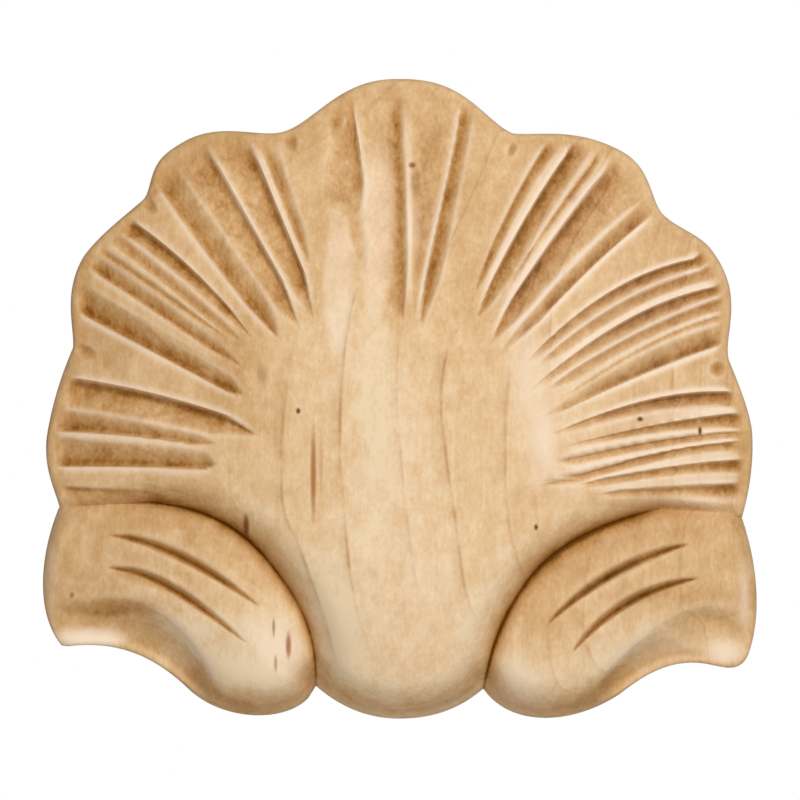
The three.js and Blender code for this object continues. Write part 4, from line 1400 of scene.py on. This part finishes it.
@dataclass(frozen=True)
class MapleFinish:
    """Hard maple, carved and sanded, with no stain, oil or varnish.

    Bare sanded maple is pale and almost dull: the eye sees a soft sheen on
    the rounds, fibres that hardly show, thin brown growth lines and a pin
    knot here and there. Where the gouge tore it, the wood is rougher and
    darker. Painted shade darkens its hollows and seams, and painted
    highlights pale its ridges along with the wear of hands that rub them.

    Colours are sRGB hex. The pith lies behind the board and to its left, so
    the rings cross the face at a slant and the fibres run up it.

    Args:
        tones: Colours of the wood, from pale to brown.
        full_brown: Browning at which it is brownest.
        late_wood: Colour of a ring's dark edge.
        polish_and_highlight_colour: Colour of worn wood, also used for painted highlights.
        polish_and_highlight_share: Most of it that shows.
        pith: Where the pith is, to the right and in depth, in millimetres.
        ring_gap: Width of a year's ring, in millimetres.
        ring_start: Distance from the pith to the first ring.
        ring_sway: How far the rings wander, in millimetres.
        ring_show: Least and most of a ring that shows.
        ring_tone: Browning between one year's wood and another's.
        roughness: Roughness of sanded wood.
        specular: Specular level of wood with no varnish.
        pit_depth: Depth of its pores and fibres, in metres.
        sanded: Share of the torn wood's grain that shows in sanded wood.
        clouds: Broad drifts of tone.
        mottle: Blotches that tearing shows up.
        pores: Pores and pits, drawn coarser than they are so that they show.
        fibres: Fibres along the wood, as wide as a bundle of the real ones.
        breaks: Where growth lines fade and come back.
        growth_lines: The rings that show most.
        spots: Pin knots, slits and dents.
    """

    tones: tuple[tuple[float, str], ...] = (
        (0.0, "ECD5B2"),
        (0.2, "E0BE91"),
        (0.4, "CEA674"),
        (0.55, "C0945F"),
        (0.75, "A57336"),
        (1.0, "70450F"),
    )
    full_brown: float = 1.3
    late_wood: str = "BC8C52"
    polish_and_highlight_colour: str = "F8E6D2"
    polish_and_highlight_share: float = 0.75
    pith: Pair = (-28.0, 61.0)
    ring_gap: float = 2.9
    ring_start: float = 81.9
    ring_sway: Grain = Grain((38.0, 38.0, 95.0), 2.0, 9.0)
    ring_show: Pair = (0.07, 0.35)
    ring_tone: float = 0.08
    roughness: float = 0.55
    specular: float = 0.1
    pit_depth: float = 0.0001
    sanded: float = 0.6
    clouds: Grain = Grain((14.0, 14.0, 34.0), 3.0, 0.5)
    mottle: Grain = Grain((2.22, 2.22, 3.33), 4.0, 1.05, when_torn=True)
    pores: Grain = Grain((0.625, 0.625, 0.91), 4.0, 0.7, when_torn=True)
    fibres: Grain = Grain((0.3846, 0.3846, 7.14), 3.0, 0.22)
    breaks: Grain = Grain((8.33, 8.33, 6.25), 2.0)
    growth_lines: tuple[GrowthLine, ...] = (
        GrowthLine(
            (
                (-5.0, 19.5),
                (-8.6, 8.0),
                (-9.4, -8.0),
                (-9.0, -14.6),
                (-7.5, -29.3),
                (-5.0, -38.6),
                (-2.4, -43.6),
            ),
            0.6,
        ),
        GrowthLine(
            ((13.1, 12.7), (6.7, 0.6), (7.4, -8.2), (9.0, -19.4), (10.6, -30.6), (13.5, -35.6)),
            0.55,
        ),
        GrowthLine(
            ((-16.6, 9.9), (-18.0, 0.8), (-18.7, -14.6), (-15.8, -23.7), (-12.3, -33.8), (-9.6, -43.4)),
            0.45,
        ),
        GrowthLine(((17.8, 6.0), (16.9, -5.0), (17.1, -16.2), (18.7, -25.0), (22.0, -30.4)), 0.45),
        GrowthLine(((3.4, 14.0), (-0.4, 4.0), (0.2, -8.0), (1.4, -20.0), (3.4, -34.0)), 0.25),
    )
    spots: tuple[Spot, ...] = (
        Spot((-15.95, -1.9), (0.45, 0.6), 1.0),
        Spot((38.55, -3.2), (0.6, 0.5), 1.0),
        Spot((48.2, -5.1), (0.4, 0.9), 1.0),
        Spot((21.9, -20.4), (0.4, 0.6), 1.0),
        Spot((-52.3, -31.4), (0.45, 0.6), 0.6),
        Spot((2.2, 37.35), (0.7, 0.6), 0.8),
        Spot((2.7, 34.6), (1.0, 2.6), 0.4),
        Spot((-24.3, -20.2), (0.6, 2.2), 0.9),
        Spot((-13.55, -11.9), (0.55, 8.4), 0.85, "A8682E"),
        Spot((-12.3, -10.0), (0.4, 6.0), 0.3, "A8682E"),
        Spot((-17.55, -39.3), (0.55, 2.5), 0.85, "A86030"),
        Spot((-19.9, -36.4), (0.3, 1.8), 0.6),
        Spot((-19.6, -42.2), (0.35, 1.6), 0.6, "A0622E"),
        Spot((-21.7, 4.0), (1.1, 1.8), 0.3),
        Spot((27.6, 32.2), (1.2, 0.9), 0.25),
    )

    def build(self) -> bpy.types.Material:
        """Builds the material.

        Returns:
            The maple.
        """
        material = bpy.data.materials.new("hard_maple_carved_and_sanded")
        material.use_nodes = True
        tree = material.node_tree
        tree.nodes.clear()
        coord = add_node(tree, "TexCoord").outputs["Object"]
        in_mm = add_node(tree, "VectorMath", {0: coord}, {1: (1 / MM,) * 3}, operation="MULTIPLY")
        place = in_mm.outputs[0]
        noises = self._noises(tree, place)
        wood = self._wood(tree, place, noises)
        colour = self._marks(tree, place, wood, noises[self.breaks])
        pits = add_node(tree, "Mix", {2: noises[self.fibres], 3: noises[self.pores]}, {0: 0.5})
        heights = {"Strength": 0.5, "Distance": self.pit_depth}
        bump = add_node(tree, "Bump", {"Height": pits.outputs[0]}, heights)
        shader = add_node(
            tree,
            "BsdfPrincipled",
            {"Base Color": colour, "Normal": bump.outputs[0]},
            {"Roughness": self.roughness, "Specular IOR Level": self.specular},
        )
        add_node(tree, "OutputMaterial", {"Surface": shader.outputs[0]})
        return material

    def _noises(self, tree: Tree, place: Socket) -> dict[Grain, Socket]:
        """Lays out the grain at each of its scales.

        Args:
            tree: The node tree.
            place: Object place in millimetres.

        Returns:
            A noise about 0.5 for each scale.
        """
        noises = {}
        for grain in (self.clouds, self.mottle, self.pores, self.fibres, self.breaks):
            scale = tuple(1 / size for size in grain.size)
            scaled = add_node(tree, "VectorMath", {0: place}, {1: scale}, operation="MULTIPLY")
            values = {"Scale": 1.0, "Detail": grain.detail, "Roughness": 0.6}
            noise = add_node(tree, "TexNoise", {"Vector": scaled.outputs[0]}, values)
            noises[grain] = noise.outputs[0]
        return noises

    def _rings(self, tree: Tree, place: Socket) -> tuple[Socket, Socket]:
        """Draws the growth rings round the pith, each of its own strength.

        Args:
            tree: The node tree.
            place: Object place in millimetres.

        Returns:
            How much of a ring's dark edge shows, and the tone of each year's wood.
        """
        sway = self.ring_sway
        scale = {1: tuple(1 / size for size in sway.size)}
        scaled = add_node(tree, "VectorMath", {0: place}, scale, operation="MULTIPLY")
        values = {"Scale": 1.0, "Detail": sway.detail, "Roughness": 0.5}
        noise = add_node(tree, "TexNoise", {"Vector": scaled.outputs[0]}, values).outputs["Color"]
        centred = add_node(tree, "VectorMath", {0: noise}, {1: (0.5,) * 3}, operation="SUBTRACT")
        reach = {1: (sway.amount, sway.amount, 0)}
        shift = add_node(tree, "VectorMath", {0: centred.outputs[0]}, reach, operation="MULTIPLY")
        warped = add_node(tree, "VectorMath", {0: place, 1: shift.outputs[0]}, operation="ADD")
        pith = {1: (*self.pith, 0)}
        from_pith = add_node(tree, "VectorMath", {0: warped.outputs[0]}, pith, operation="SUBTRACT")
        plan = {1: (1, 1, 0)}
        flat = add_node(tree, "VectorMath", {0: from_pith.outputs[0]}, plan, operation="MULTIPLY")
        length = add_node(tree, "VectorMath", {0: flat.outputs[0]}, operation="LENGTH").outputs["Value"]
        age = add_node(tree, "Math", {0: length}, {1: self.ring_start}, operation="SUBTRACT")
        count = add_node(tree, "Math", {0: age.outputs[0]}, {1: self.ring_gap}, operation="DIVIDE")
        year = add_node(tree, "Math", {0: count.outputs[0]}, operation="FLOOR")
        season = add_node(tree, "Math", {0: count.outputs[0]}, operation="FRACT")
        edge = add_node(tree, "ValToRGB", {0: season.outputs[0]})
        set_stops(edge.color_ramp, grey_stops(RING_PROFILE))
        chance = add_node(tree, "TexWhiteNoise", {"W": year.outputs[0]}, noise_dimensions="1D")
        tone = chance.outputs["Value"]
        least, most = self.ring_show
        shown = add_node(tree, "MapRange", {0: tone}, {3: least, 4: most})
        links = {0: edge.outputs[0], 1: shown.outputs[0]}
        return add_node(tree, "Math", links, operation="MULTIPLY").outputs[0], tone

    def _wood(self, tree: Tree, place: Socket, noises: dict[Grain, Socket]) -> Socket:
        """Colours the wood by how brown each place is, with its rings.

        Args:
            tree: The node tree.
            place: Object place in millimetres.
            noises: The noise of each scale of the grain.

        Returns:
            The colour.
        """
        brown_and_shade = add_node(tree, "Attribute", attribute_name="browning_and_shade").outputs["Fac"]
        torn = add_node(tree, "Attribute", attribute_name="torn").outputs["Fac"]
        spread = {1: 0.35, 2: self.sanded}
        rough = add_node(tree, "Math", {0: torn}, spread, operation="MULTIPLY_ADD", use_clamp=True)
        edges, tone = self._rings(tree, place)
        grains = (self.clouds, self.mottle, self.pores, self.fibres)
        sources = [(noises[grain], grain.amount, grain.when_torn) for grain in grains]
        for source, amount, when_torn in [*sources, (tone, self.ring_tone, False)]:
            centred = add_node(tree, "Math", {0: source}, {1: 0.5}, operation="SUBTRACT")
            if when_torn:
                links = {0: centred.outputs[0], 1: rough.outputs[0]}
                centred = add_node(tree, "Math", links, operation="MULTIPLY")
            links = {0: centred.outputs[0], 2: brown_and_shade}
            brown_and_shade = add_node(tree, "Math", links, {1: amount}, operation="MULTIPLY_ADD").outputs[0]
        share = add_node(tree, "Math", {0: brown_and_shade}, {1: self.full_brown}, operation="DIVIDE")
        wood = add_node(tree, "ValToRGB", {0: share.outputs[0]})
        set_stops(wood.color_ramp, tuple((position, linear(colour)) for position, colour in self.tones))
        ringed = add_node(tree, "Attribute", attribute_name="ringed").outputs["Fac"]
        shown = add_node(tree, "Math", {0: edges, 1: ringed}, operation="MULTIPLY")
        links = {0: shown.outputs[0], 6: wood.outputs[0]}
        late = {7: linear(self.late_wood)}
        return add_node(tree, "Mix", links, late, data_type="RGBA", blend_type="MULTIPLY").outputs[2]

    @staticmethod
    def _growth_line(
        tree: Tree, across: Socket, up: Socket, breaks: Socket, line: GrowthLine
    ) -> Socket:
        """Draws one growth line: soft on its left, sharp on its right.

        Args:
            tree: The node tree.
            across: Place to the right in millimetres.
            up: Place up in millimetres.
            breaks: Where lines show strongly, from 0 to 1.
            line: The line.

        Returns:
            How much of it shows.
        """
        top, bottom = line.points[0][1], line.points[-1][1]
        left = min(point[0] for point in line.points)
        width = max(point[0] for point in line.points) - left
        down = add_node(tree, "MapRange", {0: up}, {1: top, 2: bottom}).outputs[0]
        curve = add_node(tree, "FloatCurve", {"Value": down})
        points = curve.mapping.curves[0].points
        places = [((top - z) / (top - bottom), (x - left) / width) for x, z in line.points]
        points[0].location, points[1].location = places[0], places[-1]
        for place in places[1:-1]:
            points.new(*place)
        curve.mapping.update()
        middle = add_node(tree, "MapRange", {0: curve.outputs[0]}, {3: left, 4: left + width})
        away = add_node(tree, "Math", {0: across, 1: middle.outputs[0]}, operation="SUBTRACT")
        share = add_node(tree, "MapRange", {0: away.outputs[0]}, {1: -LINE_SOFT_SIDE, 2: LINE_SHARP_SIDE})
        drawn = add_node(tree, "ValToRGB", {0: share.outputs[0]})
        set_stops(drawn.color_ramp, grey_stops(LINE_PROFILE))
        ends = add_node(tree, "ValToRGB", {0: down})
        set_stops(ends.color_ramp, grey_stops(LINE_ENDS, line.strength))
        whole = add_node(tree, "Math", {0: drawn.outputs[0], 1: ends.outputs[0]}, operation="MULTIPLY")
        links = {0: whole.outputs[0], 1: breaks}
        return add_node(tree, "Math", links, operation="MULTIPLY").outputs[0]

    def _marks(self, tree: Tree, place: Socket, wood: Socket, breaks: Socket) -> Socket:
        """Lays growth lines, polish with painted highlights, and spots over the carved face.

        Args:
            tree: The node tree.
            place: Object place in millimetres.
            wood: Colour of the wood below them.
            breaks: Noise that breaks up the growth lines.

        Returns:
            The colour, with no marks on the back.
        """
        split = add_node(tree, "SeparateXYZ", {0: place})
        strong = add_node(tree, "MapRange", {0: breaks}, {1: 0.36, 2: 0.6, 3: 0.2, 4: 1.0})
        layers = []
        for line in self.growth_lines:
            links = split.outputs[0], split.outputs[2], strong.outputs[0]
            layers.append((self._growth_line(tree, *links, line), self.late_wood, "MULTIPLY"))
        # Worn paleness and painted highlights, laid in one pale colour.
        polish_and_highlight = add_node(tree, "Attribute", attribute_name="polish_and_highlight").outputs["Fac"]
        shown = add_node(tree, "Math", {0: polish_and_highlight}, {1: self.polish_and_highlight_share}, operation="MULTIPLY")
        layers.append((shown.outputs[0], self.polish_and_highlight_colour, "MIX"))
        for spot in self.spots:
            middle = {1: (spot.at[0], 0, spot.at[1])}
            away = add_node(tree, "VectorMath", {0: place}, middle, operation="SUBTRACT")
            scale = {1: (1 / spot.size[0], 0, 1 / spot.size[1])}
            scaled = add_node(tree, "VectorMath", {0: away.outputs[0]}, scale, operation="MULTIPLY")
            reach = add_node(tree, "VectorMath", {0: scaled.outputs[0]}, operation="LENGTH")
            fade = {1: SPOT_END, 2: SPOT_CORE, 4: spot.strength}
            links = {0: reach.outputs["Value"]}
            share = add_node(tree, "MapRange", links, fade, interpolation_type="SMOOTHSTEP")
            layers.append((share.outputs[0], spot.colour, "MIX"))
        colour = wood
        for share, over, blend_type in layers:
            links = {0: share, 6: colour}
            top = {7: linear(over)}
            mixed = add_node(tree, "Mix", links, top, data_type="RGBA", blend_type=blend_type)
            colour = mixed.outputs[2]
        marked = add_node(tree, "Attribute", attribute_name="marked").outputs["Fac"]
        return add_node(tree, "Mix", {0: marked, 6: wood, 7: colour}, data_type="RGBA").outputs[2]


@dataclass
class ShellOrnament:
    """The carved piece.

    Args:
        carving: Its carved face.
        finish: Its wood.
        weld: Distance within which its points are one, in metres.
        side_band: Depth of each band of its side before it is flattened, in metres.
        crease: Angle past which an edge shows sharp, in degrees.
        face_start: Depth of its side at which the carved face starts, in millimetres.
        face_full: Depth at which the marks of the face show in full, in millimetres.
        side_browning: Browning of its side and back.
    """

    carving: Carving = field(default_factory=Carving)
    finish: MapleFinish = field(default_factory=MapleFinish)
    weld: float = 2e-6
    side_band: float = 0.002
    crease: float = 55.0
    face_start: float = 2.0
    face_full: float = 4.2
    side_browning: float = 0.5

    def build(self) -> bpy.types.Object:
        """Models the piece: a grid laid along the carving, then its side and back.

        Returns:
            The mesh object.
        """
        x, z = Layout(self.carving).places()
        rows, columns = x.shape
        x, z = x.ravel(), z.ravel()
        height = (self.carving.height(x, z) - self.carving.hand_wave(x, z)).reshape(rows, columns)
        # The grid's two ends lie on one line below the stem and share its heights, so they weld.
        height[:, -1] = height[:, 0]
        height = height.ravel()
        points = np.clip(np.column_stack([x, -height, z]) * MM, *(np.array(c) for c in START_BOUNDS))

        bpy.ops.mesh.primitive_grid_add(x_subdivisions=columns - 1, y_subdivisions=rows - 1, size=1)
        piece = bpy.context.active_object
        piece.name = piece.data.name = "carved_shell"
        piece.data.vertices.foreach_set("co", points.astype(np.float32).ravel())
        piece.data.update()

        # The grid's first row is the hub and its two ends meet below the stem, so both are
        # welded. What is then open is the outline, which gets the side and the flat back.
        bpy.ops.object.mode_set(mode="EDIT")
        bpy.ops.mesh.select_mode(type="VERT")
        bpy.ops.mesh.select_all(action="SELECT")
        bpy.ops.mesh.remove_doubles(threshold=self.weld)
        bpy.ops.mesh.select_all(action="DESELECT")
        bpy.ops.mesh.select_non_manifold(
            extend=False, use_wire=False, use_multi_face=False, use_non_contiguous=False
        )
        for _ in range(2):
            bpy.ops.mesh.extrude_region_move(TRANSFORM_OT_translate={"value": (0, self.side_band, 0)})
        bpy.ops.transform.resize(value=(1, 0, 1), center_override=(0, 0, 0), orient_type="GLOBAL")
        bpy.ops.mesh.edge_face_add()
        bpy.ops.mesh.select_all(action="SELECT")
        bpy.ops.mesh.normals_make_consistent(inside=False)
        bpy.ops.object.mode_set(mode="OBJECT")
        bpy.ops.object.shade_smooth_by_angle(angle=math.radians(self.crease))
        return piece

    def dress(self, piece: bpy.types.Object) -> None:
        """Gives the piece its wood and marks its browned and polished places, with painted shade and
        painted highlights.

        Args:
            piece: The mesh object.
        """
        points = np.zeros(len(piece.data.vertices) * 3, np.float32)
        piece.data.vertices.foreach_get("co", points)
        x, depth, z = (points.reshape(-1, 3) / MM).T
        tone_and_light = ToneAndPaintedLight(self.carving)
        on_face = smooth(-self.face_start, -self.face_full, depth)
        angle, radius = polar(x, z)
        in_fan = self.carving.in_fan(angle)
        gouged = np.where(in_fan, self.carving.flute_depth(angle, radius), 0.0)
        polish_and_highlight = tone_and_light.polish_and_highlight(x, z) * on_face
        marks = {
            "browning_and_shade": mix(self.side_browning, tone_and_light.browning_and_shade(x, z), on_face),
            "polish_and_highlight": polish_and_highlight,
            "marked": on_face,
            "torn": np.clip(gouged / 0.8, 0, 1) * (1 - polish_and_highlight),
            "ringed": smooth(24, 31, radius / UNIT) * np.where(in_fan, 1.0, 0.5),
        }
        for name, values in marks.items():
            attribute = piece.data.attributes.new(name, "FLOAT", "POINT")
            attribute.data.foreach_set("value", values.astype(np.float32))
        piece.data.materials.append(self.finish.build())


@dataclass(frozen=True)
class Lamp:
    """A square soft light aimed at the ornament.

    Args:
        name: Its name.
        place: Where it stands, in metres.
        size: Width of its face, in metres.
        power: Its power, in watts.
    """

    name: str
    place: tuple[float, float, float]
    size: float
    power: float


@dataclass
class Studio:
    """The plain room round the ornament: floor, lights and camera, in metres.

    Args:
        floor_level: Height of the floor.
        floor_half: Half width of the floor.
        frame_width: Width of what the camera sees in the outline's plane.
        centre: Middle of that, right and up.
        outline_plane: Depth of the plane in which the outline is widest.
        camera_distance: From the camera to that plane.
        sensor: Width of the camera's sensor, in millimetres.
        lamps: The lights.
    """

    floor_level: float = -0.095
    floor_half: float = 0.5
    frame_width: float = 0.12824
    centre: Pair = (0.00024, -0.00016)
    outline_plane: float = -0.006
    camera_distance: float = 1.5
    sensor: float = 36.0
    lamps: tuple[Lamp, ...] = (
        Lamp("key", (0.2, -0.76, 0.46), 0.36, 5.1),
        Lamp("fill", (0.1, -0.95, -0.1), 0.6, 1.4),
    )

    def build(self) -> None:
        """Builds the floor, the lights and the camera."""
        self._floor()
        for lamp in self.lamps:
            self._light(lamp)
        self._surroundings()
        self._camera()

    def _floor(self) -> None:
        """Lays a floor in matt white paint, which reflects with no sheen."""
        bpy.ops.mesh.primitive_plane_add(size=2 * self.floor_half, location=(0, 0, self.floor_level))
        floor = bpy.context.active_object
        floor.name = "floor"
        paint = bpy.data.materials.new("matt_white_paint")
        paint.use_nodes = True
        shader = paint.node_tree.nodes["Principled BSDF"]
        shader.inputs["Base Color"].default_value = linear("EFEDEA")
        shader.inputs["Roughness"].default_value = 0.9
        floor.data.materials.append(paint)

    @staticmethod
    def _light(lamp: Lamp) -> None:
        """Sets up one light.

        Args:
            lamp: Its name, place, size and power.
        """
        bpy.ops.object.light_add(type="AREA", location=lamp.place)
        light = bpy.context.active_object
        light.name = lamp.name
        light.data.size = lamp.size
        light.data.energy = lamp.power
        light.data.color = linear("FFFBF5")[:3]
        light.rotation_euler = (-Vector(lamp.place)).to_track_quat("-Z", "Y").to_euler()

    @staticmethod
    def _surroundings() -> None:
        """Makes the surroundings white to the camera and dim to the wood."""
        world = bpy.data.worlds.new("studio")
        world.use_nodes = True
        tree = world.node_tree
        tree.nodes.clear()
        seen = add_node(tree, "Background", values={"Color": (1, 1, 1, 1), "Strength": 1.0})
        lit = add_node(tree, "Background", values={"Color": linear("FBFBFF"), "Strength": 0.3})
        to_camera = add_node(tree, "LightPath").outputs["Is Camera Ray"]
        both = add_node(tree, "MixShader", {0: to_camera, 1: lit.outputs[0], 2: seen.outputs[0]})
        add_node(tree, "OutputWorld", {"Surface": both.outputs[0]})
        bpy.context.scene.world = world

    def _camera(self) -> None:
        """Places the camera straight in front, at the distance that frames the outline."""
        place = (self.centre[0], self.outline_plane - self.camera_distance, self.centre[1])
        bpy.ops.object.camera_add(location=place, rotation=(math.radians(90), 0, 0))
        camera = bpy.context.active_object
        camera.name = "camera"
        camera.data.sensor_width = self.sensor
        camera.data.lens = self.sensor * self.camera_distance / self.frame_width
        bpy.context.scene.camera = camera


def main() -> None:
    """Builds the ornament and the room, and logs the piece's vertex and triangle counts."""
    logging.basicConfig(level=logging.INFO, format="%(message)s")
    bpy.context.scene.view_settings.view_transform = "Standard"
    ornament = ShellOrnament()
    piece = ornament.build()
    ornament.dress(piece)
    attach(piece, "root")
    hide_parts("shell_ornament")
    faces = sum(len(polygon.vertices) - 2 for polygon in piece.data.polygons)
    log.info("%s: %d vertices, %d triangles", piece.name, len(piece.data.vertices), faces)
    Studio().build()


if __name__ == "__main__":
    main()
